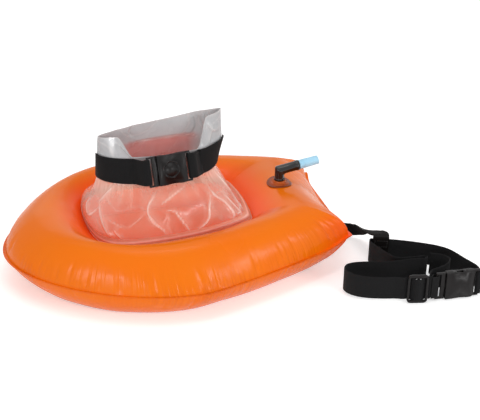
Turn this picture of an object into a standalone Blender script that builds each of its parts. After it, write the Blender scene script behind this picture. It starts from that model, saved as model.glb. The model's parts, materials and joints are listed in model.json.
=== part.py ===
"""Open water swim buoy: an inflated float with a roll-top dry bag, an oral valve, a tow leash and a waist belt.

Metres, +Z up, +X towards the nose that is towed first. The origin lies on the ground, midway along
the float and on its plane of symmetry. The float's two panels are modelled with the air they hold.
"""
import math
from dataclasses import dataclass

import bmesh
import bpy
from mathutils import Matrix, Vector

# Clearances and cutting allowances
GAP = 0.0003
CUT_OVERRUN = 0.002
FUSE_DEPTH = 0.0005

# Webbing
WEBBING = 0.038
WEBBING_THICKNESS = 0.0016
LEASH_WIDTH = 0.025
STRAP_MARGIN = 0.0015

# Float: two welded panels with a seam all round and an opening in the middle
FLOAT_LENGTH = 0.5213
FLOAT_HALF_WIDTH = 0.1900
WIDEST_AHEAD = 0.0058
NOSE_HALF_WIDTH = 0.1046
REAR_HANDLE = 0.0863
WIDEST_BACK_HANDLE = 0.1292
WIDEST_FRONT_HANDLE = 0.0240
CORNER_HANDLE = 0.0900
CORNER_ANGLE = 26.4
SEAM_HEIGHT = 0.0469
UPPER_RISE = 0.0594
LOWER_RISE = 0.0521
FLANGE_SHARE = 0.03
CREST_SKEW = 0.945
NOSE_FULLNESS = 0.91
CORNER_FULLNESS = 0.50
SIDE_FULLNESS = 1.00
REAR_FULLNESS = 0.55
INNER_FULLNESS = 0.68
LOWER_FULLNESS = 0.60
FLANGE_THICKNESS = 0.001

# Weld line of the dry bag on the upper panel
WELD_REAR = 0.1319
WELD_NOSE = 0.1136
WELD_HALF_WIDTH = 0.0915
WELD_WIDEST_AHEAD = -0.0464
WELD_NOSE_HALF_WIDTH = 0.056
WELD_REAR_HANDLE = 0.085
WELD_BACK_HANDLE = 0.065
WELD_FRONT_HANDLE = 0.075
WELD_CORNER_HANDLE = 0.020
WELD_CORNER_ANGLE = 75.0
WELD_NOSE_BULGE = 0.005
WELD_SHARE = 0.82
WELD_BAND_SHARE = 0.04
WELD_BAND_THICKNESS = 0.001

# Dry bag: film walls from the weld line up to the roll-top mouth
FILM_THICKNESS = 0.0012
STRAP_LOW_REAR = 0.1124
STRAP_LOW_NOSE = 0.0706
STRAP_LOW_FRONT = 0.052
STRAP_LOW_BACK = 0.014
STRAP_LOW_HEIGHT = 0.161
STRAP_HIGH_REAR = 0.1109
STRAP_HIGH_NOSE = 0.0819
STRAP_HIGH_FRONT = 0.036
STRAP_HIGH_BACK = 0.012
STRAP_HIGH_HEIGHT = STRAP_LOW_HEIGHT + WEBBING + STRAP_MARGIN
MOUTH_REAR = 0.1090
MOUTH_NOSE = 0.0800
MOUTH_FRONT = 0.022
MOUTH_BACK = 0.009
MOUTH_REAR_HEIGHT = 0.226
MOUTH_NOSE_HEIGHT = 0.247
FRONT_LIP_KEPT_SHARE = 0.08
FLAP_START_SHARE = 0.50
FLAP_END_SHARE = 0.74

# Side-release buckles, the same size at the mouth and on the belt
BUCKLE_LENGTH = 0.068
BUCKLE_HEIGHT = 0.045
BUCKLE_THICKNESS = 0.011
BUCKLE_END_THICKNESS = 0.005
BAR_WIDTH = 0.003
BAR_THICKNESS = 0.0032
SLOT_WIDTH = 0.0045
SLOT_CLEARANCE = 0.0008
PLUG_CROSSBAR = 0.0072
PLUG_THICKNESS = 0.0044
TONGUE_LENGTH = 0.029
TONGUE_HALF_WIDTH = 0.0045
PRONG_THICKNESS = 0.004
PRONG_LENGTH = 0.031
PRONG_ROOT_INNER = 0.0105
PRONG_ROOT_WIDTH = 0.005
PRONG_BARB_REACH = 0.0007
CAVITY_DEPTH = 0.033
CAVITY_HALF_WIDTH = 0.0182
CAVITY_CLEARANCE = 0.0004
WINDOW_START = 0.0167
WINDOW_LENGTH = 0.0105
WAIST_RADIUS = 0.060
WAIST_DEPTH = 0.0012
BOSS_RADIUS = 0.0142
BOSS_AHEAD = 0.0012
BOSS_HEIGHT = 0.0011
BOSS_GROOVE_RADIUS = 0.0112
BOSS_GROOVE_WIDTH = 0.0010
BOSS_GROOVE_DEPTH = 0.0006
EDGE_ROUNDING = 0.0008
PRONG_ROUNDING = 0.0005

# Places of the two buckles and the slider
MOUTH_BUCKLE_AHEAD = -0.0139
MOUTH_BUCKLE_TURN = 5.0
MOUTH_BUCKLE_STANDOFF = 0.0072
BELT_BUCKLE_X = 0.3816
BELT_BUCKLE_Y = -0.230
BELT_BUCKLE_TURN = -5.0
SLIDER_X = 0.3190
SLIDER_Y = -0.2278
SLIDER_TURN = -14.0

# Tri-glide slider on the belt
SLIDER_LENGTH = 0.031
SLIDER_HEIGHT = 0.0485
SLIDER_THICKNESS = 0.0042
SLIDER_RAIL = 0.0035
SLIDER_CENTRE_BAR = 0.004
SLIDER_CORNER = 0.006

# Oral valve
VALVE_SETBACK = 0.0830
VALVE_X = FLOAT_LENGTH / 2 - VALVE_SETBACK
VALVE_FLANGE_RADIUS = 0.0184
VALVE_FLANGE_THICKNESS = 0.0012
VALVE_COLLAR_RADIUS = 0.0100
VALVE_COLLAR_HEIGHT = 0.0045
ELBOW_RADIUS = 0.0075
ELBOW_WALL = 0.0026
ELBOW_BEND_RADIUS = 0.010
ELBOW_COLUMN = 0.0205
ELBOW_ARM = 0.032
ELBOW_BORE_DEPTH = 0.019
ARM_TILT = 8.5
MOUTHPIECE_LENGTH = 0.031
MOUTHPIECE_RADIUS = 0.0070
MOUTHPIECE_TIP_HALF_WIDTH = 0.0062
MOUTHPIECE_TIP_HALF_HEIGHT = 0.0046
MOUTHPIECE_BORE = 0.0028
SPIGOT_DEPTH = 0.010
POPPET_ROD_RADIUS = 0.0014
POPPET_HEAD_RADIUS = 0.0040
POPPET_HEAD_THICKNESS = 0.0016
POPPET_REACH = 0.018

# Tow patch under the nose
PATCH_START_SHARE = 0.10
PATCH_END_SHARE = 0.27
PATCH_HALF_WIDTH_SHARE = 0.20
PATCH_THICKNESS = 0.0012

# Belt and leash: heights and routes, in plan for the belt that stands on its edge
BELT_BASE_HEIGHT = 0.0045
FOLD_RADIUS = 0.0039
FOLD_FLAP = 0.0085
FOLD_SHORT_FLAP = 0.0040
STRAP_WRAP_SHARE = 0.01
LOOP_X = 0.3096
LOOP_Y = -0.1066
LOOP_TURN = -21.0
LOOP_CLEARANCE = 0.0004
LEASH_LAP = 0.014

BELT_ROUTE_TO_LOOP = [
    (0.2880, -0.2150), (0.2680, -0.2095), (0.2480, -0.2015), (0.2330, -0.1910), (0.2255, -0.1790),
    (0.2250, -0.1690), (0.2310, -0.1615), (0.2410, -0.1590), (0.2530, -0.1600), (0.2700, -0.1640),
    (0.2900, -0.1700), (0.3100, -0.1722), (0.3290, -0.1730), (0.3440, -0.1748), (0.3530, -0.1765),
    (0.3572, -0.1736), (0.3535, -0.1704), (0.3430, -0.1688), (0.3290, -0.1672), (0.3170, -0.1650),
    (0.3085, -0.1590), (0.3035, -0.1500), (0.2995, -0.1390), (0.2960, -0.1270), (0.2925, -0.1160),
    (0.2912, -0.1085), (0.2926, -0.1030),
]
BELT_ROUTE_FROM_LOOP = [
    (0.3380, -0.1190), (0.3680, -0.1365), (0.3850, -0.1485), (0.3975, -0.1625), (0.4040, -0.1770),
    (0.4090, -0.1920), (0.4145, -0.2060), (0.4180, -0.2160),
]
TAIL_ROUTE = [
    (0.3460, -0.2120), (0.3640, -0.2060), (0.3810, -0.1980), (0.3880, -0.1870), (0.3830, -0.1760),
    (0.3660, -0.1650),
]
LEASH_ROUTE = [
    (0.2540, 0.0000, 0.0290), (0.2630, -0.0010, 0.0265), (0.2730, -0.0060, 0.0210),
    (0.2835, -0.0155, 0.0170), (0.2940, -0.0260, 0.0160), (0.3010, -0.0345, 0.0190),
    (0.3035, -0.0450, 0.0255), (0.3045, -0.0570, 0.0310), (0.3062, -0.0700, 0.0365),
    (0.3085, -0.0840, 0.0412),
]
LEASH_TWIST = [0.0, 5.0, 30.0, 60.0, 76.0, 64.0, 44.0, 27.0, 12.0, 3.0]

# Mesh fineness
NOSE_STEPS = 5
FRONT_STEPS = 10
REAR_STEPS = 13
PANEL_STEPS = 18
ROUND_STEPS = 24
FOLD_STEPS = 6
ROUTE_STEPS = 4
SMOOTH_ANGLE = math.radians(35)
HALF_TURN = math.pi

# Shares of the height and of the plan shape at the film's belly, from the weld line to the strap
BELLY_SHARES = [
    {"height": 0.30, "rear": -0.13, "nose": 0.44, "front": 0.09, "back": 0.16, "round": 0.35},
    {"height": 0.62, "rear": 0.52, "nose": 0.68, "front": 0.40, "back": 0.50, "round": 0.70},
]
LEVEL_STEPS = [3, 3, 3, 1, 3]
LOOP_STRAIGHT_SHARES = [-0.62, -0.54, 0, 0.54, 0.62]
PRONG_OUTLINE_SHARES = [
    (0.00, 0.00), (0.60, 0.20), (0.80, 0.20), (1.00, 0.34), (1.00, 0.46), (0.86, 0.63), (0.80, 0.82),
    (0.58, 0.92), (0.56, 0.60), (0.30, 0.55), (0.00, 0.44),
]

ORANGE = (0.90, 0.21, 0.02, 1.0)
CLEAR_FILM = (0.86, 0.87, 0.88, 0.45)
PALE_WELD = (0.93, 0.62, 0.52, 1.0)
WEBBING_BLACK = (0.015, 0.014, 0.014, 1.0)
BUCKLE_BLACK = (0.030, 0.029, 0.030, 1.0)
VALVE_BLACK = (0.010, 0.010, 0.011, 1.0)
VALVE_AMBER = (0.55, 0.20, 0.07, 1.0)
MOUTHPIECE_BLUE = (0.42, 0.74, 0.90, 1.0)


@dataclass
class Outline:
    """Half of a plan outline: a nose edge, a rounded corner, a widest place and a round rear."""

    rear: float
    widest_ahead: float
    half_width: float
    nose: float
    nose_half_width: float
    rear_handle: float
    back_handle: float
    front_handle: float
    corner_handle: float
    corner_angle: float
    nose_bulge: float


FLOAT_OUTLINE = Outline(
    FLOAT_LENGTH / 2, WIDEST_AHEAD, FLOAT_HALF_WIDTH, FLOAT_LENGTH / 2, NOSE_HALF_WIDTH, REAR_HANDLE,
    WIDEST_BACK_HANDLE, WIDEST_FRONT_HANDLE, CORNER_HANDLE, CORNER_ANGLE, 0,
)
WELD_OUTLINE = Outline(
    WELD_REAR, WELD_WIDEST_AHEAD, WELD_HALF_WIDTH, WELD_NOSE, WELD_NOSE_HALF_WIDTH, WELD_REAR_HANDLE,
    WELD_BACK_HANDLE, WELD_FRONT_HANDLE, WELD_CORNER_HANDLE, WELD_CORNER_ANGLE, WELD_NOSE_BULGE,
)


def clear_scene():
    for obj in list(bpy.data.objects):
        bpy.data.objects.remove(obj, do_unlink=True)


def make_material(name, colour, roughness, metallic=0):
    material = bpy.data.materials.new(name)
    material.use_nodes = True
    shader = material.node_tree.nodes["Principled BSDF"]
    shader.inputs["Base Color"].default_value = colour
    shader.inputs["Roughness"].default_value = roughness
    shader.inputs["Metallic"].default_value = metallic
    shader.inputs["Alpha"].default_value = colour[3]
    return material


def finish_mesh(name, bm, colour, roughness, smooth=True):
    """Close the work on one sub-part: faces out, smooth where round, its own material."""
    bmesh.ops.recalc_face_normals(bm, faces=bm.faces)
    mesh = bpy.data.meshes.new(name)
    bm.to_mesh(mesh)
    bm.free()
    if smooth:
        mesh.shade_smooth()
        mesh.set_sharp_from_angle(angle=SMOOTH_ANGLE)
    obj = bpy.data.objects.new(name, mesh)
    bpy.context.scene.collection.objects.link(obj)
    mesh.materials.append(make_material(name, colour, roughness))
    return obj


def bezier(start, start_handle, end_handle, end, share):
    rest = 1 - share
    return (
        start * rest**3 + start_handle * (3 * rest * rest * share)
        + end_handle * (3 * rest * share * share) + end * share**3
    )


def slope_at(before, place, after):
    """Direction of a curve through three places, weighted so that uneven spacing makes no loop."""
    back = (place - before).length
    ahead = (after - place).length
    return ((place - before) * (ahead / back) + (after - place) * (back / ahead)) / (back + ahead)


def curve_between(before, start, end, after, steps):
    """Points from a start up to, but not with, its end on a smooth curve that also knows its neighbours."""
    span = (end - start).length
    start_handle = start + slope_at(before, start, end) * (span / 3)
    end_handle = end - slope_at(start, end, after) * (span / 3)
    return [bezier(start, start_handle, end_handle, end, step / steps) for step in range(steps)]


def smooth_route(points, steps=ROUTE_STEPS):
    """Points along a smooth curve through a route's own points."""
    route = [Vector(p) for p in points]
    padded = [route[0] * 2 - route[1]] + route + [route[-1] * 2 - route[-2]]
    smooth = []
    for before, start, end, after in zip(padded, padded[1:], padded[2:], padded[3:]):
        smooth += curve_between(before, start, end, after, steps)
    smooth.append(route[-1])
    return smooth


def blend(start, end, share):
    return start + (end - start) * share


def ease(share):
    share = min(1, max(0, share))
    return share * share * (3 - 2 * share)


def outline_points(outline):
    """The whole outline, anticlockwise from the middle of the nose edge."""
    corner = Vector((outline.nose, outline.nose_half_width))
    widest = Vector((outline.widest_ahead, outline.half_width))
    rear = Vector((-outline.rear, 0))
    angle = math.radians(outline.corner_angle)
    corner_out = corner + Vector((-math.cos(angle), math.sin(angle))) * outline.corner_handle
    half = []
    for step in range(NOSE_STEPS):
        share = step / NOSE_STEPS
        bulge = outline.nose_bulge * (1 - share * share)
        half.append(Vector((outline.nose + bulge, outline.nose_half_width * share)))
    for step in range(FRONT_STEPS):
        widest_out = widest + Vector((outline.front_handle, 0))
        half.append(bezier(corner, corner_out, widest_out, widest, step / FRONT_STEPS))
    for step in range(REAR_STEPS):
        widest_back = widest - Vector((outline.back_handle, 0))
        rear_out = rear + Vector((0, outline.rear_handle))
        half.append(bezier(widest, widest_back, rear_out, rear, step / REAR_STEPS))
    half.append(rear)
    return half + [Vector((p.x, -p.y)) for p in reversed(half[1:-1])]


def nose_fullness(along):
    """How full the upper panel is at a share of the way from the middle of the nose to its corner."""
    return blend(NOSE_FULLNESS, CORNER_FULLNESS, min(1, along * NOSE_STEPS / (NOSE_STEPS - 1)))


def fullness_around():
    """How full the upper panel's outer slope is at each place of the outline."""
    half = [nose_fullness(step / NOSE_STEPS) for step in range(NOSE_STEPS)]
    for step in range(FRONT_STEPS):
        half.append(blend(CORNER_FULLNESS, SIDE_FULLNESS, ease(step / FRONT_STEPS)))
    for step in range(REAR_STEPS + 1):
        half.append(blend(SIDE_FULLNESS, REAR_FULLNESS, step / REAR_STEPS))
    return half + half[-2:0:-1]


def panel_height(share, side, fullness):
    """Height of a panel above or below the seam, share of the way from the outer to the inner seam."""
    inside = (share - FLANGE_SHARE) / (1 - 2 * FLANGE_SHARE)
    if inside <= 0 or inside >= 1:
        return FLANGE_THICKNESS
    if side < 0:
        return max(FLANGE_THICKNESS, LOWER_RISE * math.sin(HALF_TURN * inside) ** LOWER_FULLNESS)
    skewed = inside ** CREST_SKEW
    power = fullness if skewed < 0.5 else INNER_FULLNESS
    return max(FLANGE_THICKNESS, UPPER_RISE * math.sin(HALF_TURN * skewed) ** power)


def panel_shares():
    band = [WELD_SHARE - WELD_BAND_SHARE / 2, WELD_SHARE, WELD_SHARE + WELD_BAND_SHARE / 2]
    inside = [FLANGE_SHARE + (1 - 2 * FLANGE_SHARE) * ease(step / PANEL_STEPS) for step in range(1, PANEL_STEPS)]
    even = [FLANGE_SHARE + (1 - 2 * FLANGE_SHARE) * step / PANEL_STEPS for step in range(1, PANEL_STEPS)]
    mixed = [(a + b) / 2 for a, b in zip(inside, even)]
    kept = [s for s in mixed if min(abs(s - b) for b in band) > WELD_BAND_SHARE / 4]
    return [0, FLANGE_SHARE] + sorted(kept + band) + [1 - FLANGE_SHARE, 1]


def inner_outline(outer, weld):
    return [blend(o, w, 1 / WELD_SHARE) for o, w in zip(outer, weld)]


def panel_point(outer, inner, share, side, fullness=SIDE_FULLNESS):
    """A point of the upper (side 1) or lower (side -1) panel on the ruling from outer to inner seam."""
    plan = blend(outer, inner, share)
    height = SEAM_HEIGHT + side * (GAP / 2 + panel_height(share, side, fullness))
    return Vector((plan.x, plan.y, max(0, height)))


def ring_body(name, sections, colour, roughness):
    """A closed body from closed sections all round an opening."""
    bm = bmesh.new()
    rings = [[bm.verts.new(p) for p in section] for section in sections]
    for ring, following in zip(rings, rings[1:] + rings[:1]):
        for j in range(len(ring)):
            k = (j + 1) % len(ring)
            bm.faces.new((ring[j], ring[k], following[k], following[j]))
    return finish_mesh(name, bm, colour, roughness)


def float_panel(name, outer, inner, side):
    """One half of the float: a panel with the air under it and a welding flange at both seams."""
    sections = []
    for o, i, fullness in zip(outer, inner, fullness_around()):
        skin = [panel_point(o, i, share, side, fullness) for share in panel_shares()]
        seam = SEAM_HEIGHT + side * GAP / 2
        sections.append(skin + [Vector((i.x, i.y, seam)), Vector((o.x, o.y, seam))])
    return ring_body(name, sections, ORANGE, 0.34)


def off_panel(outer, inner, share, side, distance):
    """A point at a distance off the panel's surface, square to it along the ruling."""
    step = WELD_BAND_SHARE / 2
    ahead = panel_point(outer, inner, share + step, side)
    behind = panel_point(outer, inner, share - step, side)
    tangent = (ahead - behind).normalized()
    sideways = tangent.cross(Vector((0, 0, 1)))
    normal = sideways.cross(tangent).normalized() * side
    if normal.z * side < 0:
        normal = -normal
    return panel_point(outer, inner, share, side) + normal * distance


def weld_band(outer, inner):
    sections = []
    low = WELD_SHARE - WELD_BAND_SHARE / 2
    high = WELD_SHARE + WELD_BAND_SHARE / 2
    for o, i in zip(outer, inner):
        sections.append([
            off_panel(o, i, low, 1, GAP), off_panel(o, i, high, 1, GAP),
            off_panel(o, i, high, 1, GAP + WELD_BAND_THICKNESS), off_panel(o, i, low, 1, GAP + WELD_BAND_THICKNESS),
        ])
    return ring_body("bag_weld_band", sections, PALE_WELD, 0.3)


@dataclass
class Ring:
    """One level of the bag film: its reach each way, its heights, and how round its plan is."""

    rear: float
    nose: float
    front: float
    back: float
    rear_height: float
    nose_height: float
    roundness: float

    def point(self, unit):
        """The ring's point for a direction of the weld outline, given in half lengths and half widths."""
        angle = math.atan2(unit.y, unit.x)
        round_unit = Vector((math.cos(angle), math.sin(angle)))
        mixed = blend(unit, round_unit, self.roundness)
        middle = (self.nose - self.rear) / 2
        half = (self.nose + self.rear) / 2
        depth = self.back if mixed.y > 0 else self.front
        height = blend(self.rear_height, self.nose_height, (mixed.x + 1) / 2)
        return Vector((middle + half * mixed.x, depth * mixed.y, height))


STRAP_LOW = Ring(
    STRAP_LOW_REAR, STRAP_LOW_NOSE, STRAP_LOW_FRONT, STRAP_LOW_BACK, STRAP_LOW_HEIGHT, STRAP_LOW_HEIGHT, 1
)
STRAP_HIGH = Ring(
    STRAP_HIGH_REAR, STRAP_HIGH_NOSE, STRAP_HIGH_FRONT, STRAP_HIGH_BACK, STRAP_HIGH_HEIGHT, STRAP_HIGH_HEIGHT, 1
)
MOUTH = Ring(MOUTH_REAR, MOUTH_NOSE, MOUTH_FRONT, MOUTH_BACK, MOUTH_REAR_HEIGHT, MOUTH_NOSE_HEIGHT, 1)


def weld_unit(point):
    middle = (WELD_NOSE + WELD_NOSE_BULGE - WELD_REAR) / 2
    half = (WELD_NOSE + WELD_NOSE_BULGE + WELD_REAR) / 2
    return Vector(((point.x - middle) / half, point.y / WELD_HALF_WIDTH))


def front_dip(unit):
    """How far the film's front edge is drawn down to the strap: none at both ends and at the back."""
    if unit.y > 0:
        return 0
    angle = math.atan2(unit.y, unit.x)
    along = abs(math.cos(angle))
    return 1 - ease((along - FLAP_START_SHARE) / (FLAP_END_SHARE - FLAP_START_SHARE))


def belly_ring(shares, foot_height):
    nose = WELD_NOSE + WELD_NOSE_BULGE
    height = blend(foot_height, STRAP_LOW_HEIGHT, shares["height"])
    return Ring(
        blend(WELD_REAR, STRAP_LOW_REAR, shares["rear"]), blend(nose, STRAP_LOW_NOSE, shares["nose"]),
        blend(WELD_HALF_WIDTH, STRAP_LOW_FRONT, shares["front"]), blend(WELD_HALF_WIDTH, STRAP_LOW_BACK, shares["back"]),
        height, height, shares["round"],
    )


def film_column(outer, inner, weld):
    """The film's outer face from the weld up to its free edge at one place round the bag."""
    unit = weld_unit(weld)
    clear = GAP + WELD_BAND_THICKNESS + GAP
    foot = off_panel(outer, inner, WELD_SHARE - WELD_BAND_SHARE / 4, 1, clear)
    belly = [belly_ring(shares, foot.z).point(unit) for shares in BELLY_SHARES]
    low = STRAP_LOW.point(unit)
    high = STRAP_HIGH.point(unit)
    kept = blend(1, FRONT_LIP_KEPT_SHARE, front_dip(unit))
    edge = blend(high, MOUTH.point(unit), kept)
    knots = [foot] + belly + [low]
    padded = [knots[0] * 2 - knots[1]] + knots + [high]
    column = []
    for k, steps in enumerate(LEVEL_STEPS[:3]):
        column += curve_between(*padded[k:k + 4], steps)
    column.append(low)
    for step in range(LEVEL_STEPS[4] + 1):
        column.append(blend(high, edge, step / LEVEL_STEPS[4]))
    return column


def bag_film(outer, inner, weld):
    """The bag's film as an open-topped wall, closed by its rims only."""
    columns = [film_column(o, i, w) for o, i, w in zip(outer, inner, weld)]
    count = len(columns)
    levels = len(columns[0])
    sections = []
    for n, column in enumerate(columns):
        ahead = columns[(n + 1) % count]
        behind = columns[n - 1]
        inside = []
        for k, point in enumerate(column):
            around = ahead[k] - behind[k]
            upward = column[min(k + 1, levels - 1)] - column[max(k - 1, 0)]
            inward = upward.cross(around).normalized()
            inside.append(point + inward * FILM_THICKNESS)
        sections.append(column + inside[::-1])
    return ring_body("bag_film", sections, CLEAR_FILM, 0.2)


def bag_floor(inner):
    """The sheet that closes the bag's bottom in the plane of the seams."""
    bm = bmesh.new()
    rim = []
    for point in inner:
        inset = Vector(point) - Vector(point).normalized() * GAP
        rim.append(bm.verts.new((inset.x, inset.y, SEAM_HEIGHT - FILM_THICKNESS / 2)))
    sheet = bm.faces.new(rim)
    raised = bmesh.ops.extrude_face_region(bm, geom=[sheet])
    top = [v for v in raised["geom"] if isinstance(v, bmesh.types.BMVert)]
    bmesh.ops.translate(bm, verts=top, vec=(0, 0, FILM_THICKNESS))
    return finish_mesh("bag_floor", bm, ORANGE, 0.34)


def strip(name, centres, across, width, thickness, colour=WEBBING_BLACK, roughness=0.7):
    """A length of webbing along its centres, with the direction of its width given at each."""
    bm = bmesh.new()
    rings = []
    last = len(centres) - 1
    for n, centre in enumerate(centres):
        along = (centres[min(n + 1, last)] - centres[max(n - 1, 0)]).normalized()
        wide = (across[n] - along * across[n].dot(along)).normalized()
        normal = along.cross(wide)
        half_width = wide * width / 2
        half_thick = normal * thickness / 2
        corners = [
            centre - half_width - half_thick, centre + half_width - half_thick,
            centre + half_width + half_thick, centre - half_width + half_thick,
        ]
        rings.append([bm.verts.new(c) for c in corners])
    for ring, following in zip(rings, rings[1:]):
        for j in range(4):
            k = (j + 1) % 4
            bm.faces.new((ring[j], ring[k], following[k], following[j]))
    bm.faces.new(rings[0])
    bm.faces.new(rings[-1])
    return finish_mesh(name, bm, colour, roughness)


def plate(name, outline, holes, thickness, colour, roughness, rounding):
    """A flat piece with holes, middle plane at zero, with its edges rounded."""
    bm = bmesh.new()
    for loop in [outline] + holes:
        corners = [bm.verts.new((x, y, -thickness / 2)) for x, y in loop]
        for start, end in zip(corners, corners[1:] + corners[:1]):
            bm.edges.new((start, end))
    bmesh.ops.triangle_fill(bm, edges=bm.edges, use_beauty=True)
    raised = bmesh.ops.extrude_face_region(bm, geom=list(bm.faces))
    top = [v for v in raised["geom"] if isinstance(v, bmesh.types.BMVert)]
    bmesh.ops.translate(bm, verts=top, vec=(0, 0, thickness))
    obj = finish_mesh(name, bm, colour, roughness)
    add_rounding(obj, rounding)
    return obj


def add_rounding(obj, radius):
    bevel = obj.modifiers.new("rounding", "BEVEL")
    bevel.width = radius
    bevel.segments = 2
    bevel.limit_method = "ANGLE"
    bevel.angle_limit = SMOOTH_ANGLE
    bevel.use_clamp_overlap = True


def add_boolean(obj, tool, operation):
    boolean = obj.modifiers.new(operation.lower(), "BOOLEAN")
    boolean.operation = operation
    boolean.solver = "EXACT"
    boolean.object = tool
    tool.hide_render = True
    tool.display_type = "WIRE"
    tool.parent = obj


def box_tool(name, low, high):
    """A cutter or an added block between two corners."""
    bm = bmesh.new()
    size = Vector(high) - Vector(low)
    middle = (Vector(high) + Vector(low)) / 2
    placed = Matrix.Translation(middle) @ Matrix.Diagonal((size.x, size.y, size.z, 1))
    bmesh.ops.create_cube(bm, size=1, matrix=placed)
    return finish_mesh(name, bm, BUCKLE_BLACK, 0.5, smooth=False)


def cylinder_tool(name, radius, low, high, x, y, inner=0):
    """A round cutter or added disc, or a ring where it has an inner radius."""
    bm = bmesh.new()
    turned = []
    profile = [(radius, low), (radius, high)]
    if inner:
        profile += [(inner, high), (inner, low)]
    for step in range(ROUND_STEPS * 2):
        angle = HALF_TURN * step / ROUND_STEPS
        turned.append([
            bm.verts.new((x + r * math.cos(angle), y + r * math.sin(angle), z)) for r, z in profile
        ])
    for ring, following in zip(turned, turned[1:] + turned[:1]):
        for j in range(len(profile) if inner else 1):
            k = (j + 1) % len(profile)
            bm.faces.new((ring[j], ring[k], following[k], following[j]))
    if not inner:
        bm.faces.new([ring[0] for ring in turned])
        bm.faces.new([ring[1] for ring in turned])
    return finish_mesh(name, bm, BUCKLE_BLACK, 0.5)


def rounded_rectangle(low_x, high_x, half_height, radius, corner_steps=3):
    points = []
    corners = [(high_x, half_height, 0), (low_x, half_height, 1), (low_x, -half_height, 2), (high_x, -half_height, 3)]
    for x, y, quarter in corners:
        centre_x = x - radius if x == high_x else x + radius
        centre_y = y - radius if y > 0 else y + radius
        for step in range(corner_steps + 1):
            angle = HALF_TURN / 2 * (quarter + step / corner_steps)
            points.append((centre_x + radius * math.cos(angle), centre_y + radius * math.sin(angle)))
    return points


BUCKLE_HALF = BUCKLE_LENGTH / 2
SLOT_HALF_HEIGHT = WEBBING / 2 + SLOT_CLEARANCE
PLUG_SHOULDER = -BUCKLE_HALF + BAR_WIDTH + SLOT_WIDTH + PLUG_CROSSBAR
SOCKET_MOUTH = PLUG_SHOULDER + GAP
BAR_PLACE = BUCKLE_HALF - BAR_WIDTH / 2
HALF_HEIGHT = BUCKLE_HEIGHT / 2


def buckle_plug(name):
    """The plug: a webbing slot, a crossbar and the middle tongue. The prongs are pieces of their own."""
    tip = PLUG_SHOULDER + TONGUE_LENGTH
    taper = TONGUE_HALF_WIDTH / 2
    outline = [
        (-BUCKLE_HALF, -HALF_HEIGHT), (PLUG_SHOULDER, -HALF_HEIGHT), (PLUG_SHOULDER, -TONGUE_HALF_WIDTH),
        (tip - taper, -TONGUE_HALF_WIDTH), (tip, -taper), (tip, taper), (tip - taper, TONGUE_HALF_WIDTH),
        (PLUG_SHOULDER, TONGUE_HALF_WIDTH), (PLUG_SHOULDER, HALF_HEIGHT), (-BUCKLE_HALF, HALF_HEIGHT),
    ]
    slot_start = -BUCKLE_HALF + BAR_WIDTH
    slot = [
        (slot_start, -SLOT_HALF_HEIGHT), (slot_start + SLOT_WIDTH, -SLOT_HALF_HEIGHT),
        (slot_start + SLOT_WIDTH, SLOT_HALF_HEIGHT), (slot_start, SLOT_HALF_HEIGHT),
    ]
    return plate(name, outline, [slot], PLUG_THICKNESS, BUCKLE_BLACK, 0.42, EDGE_ROUNDING)


def buckle_prong(name, side):
    """A springy arm with the barb that catches in the socket's window, origin at its root's inner corner."""
    reach = HALF_HEIGHT - PRONG_BARB_REACH - PRONG_ROOT_INNER
    outline = [(x * PRONG_LENGTH, y * reach * side) for x, y in PRONG_OUTLINE_SHARES]
    return plate(name, outline, [], PRONG_THICKNESS, BUCKLE_BLACK, 0.42, PRONG_ROUNDING)


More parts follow.
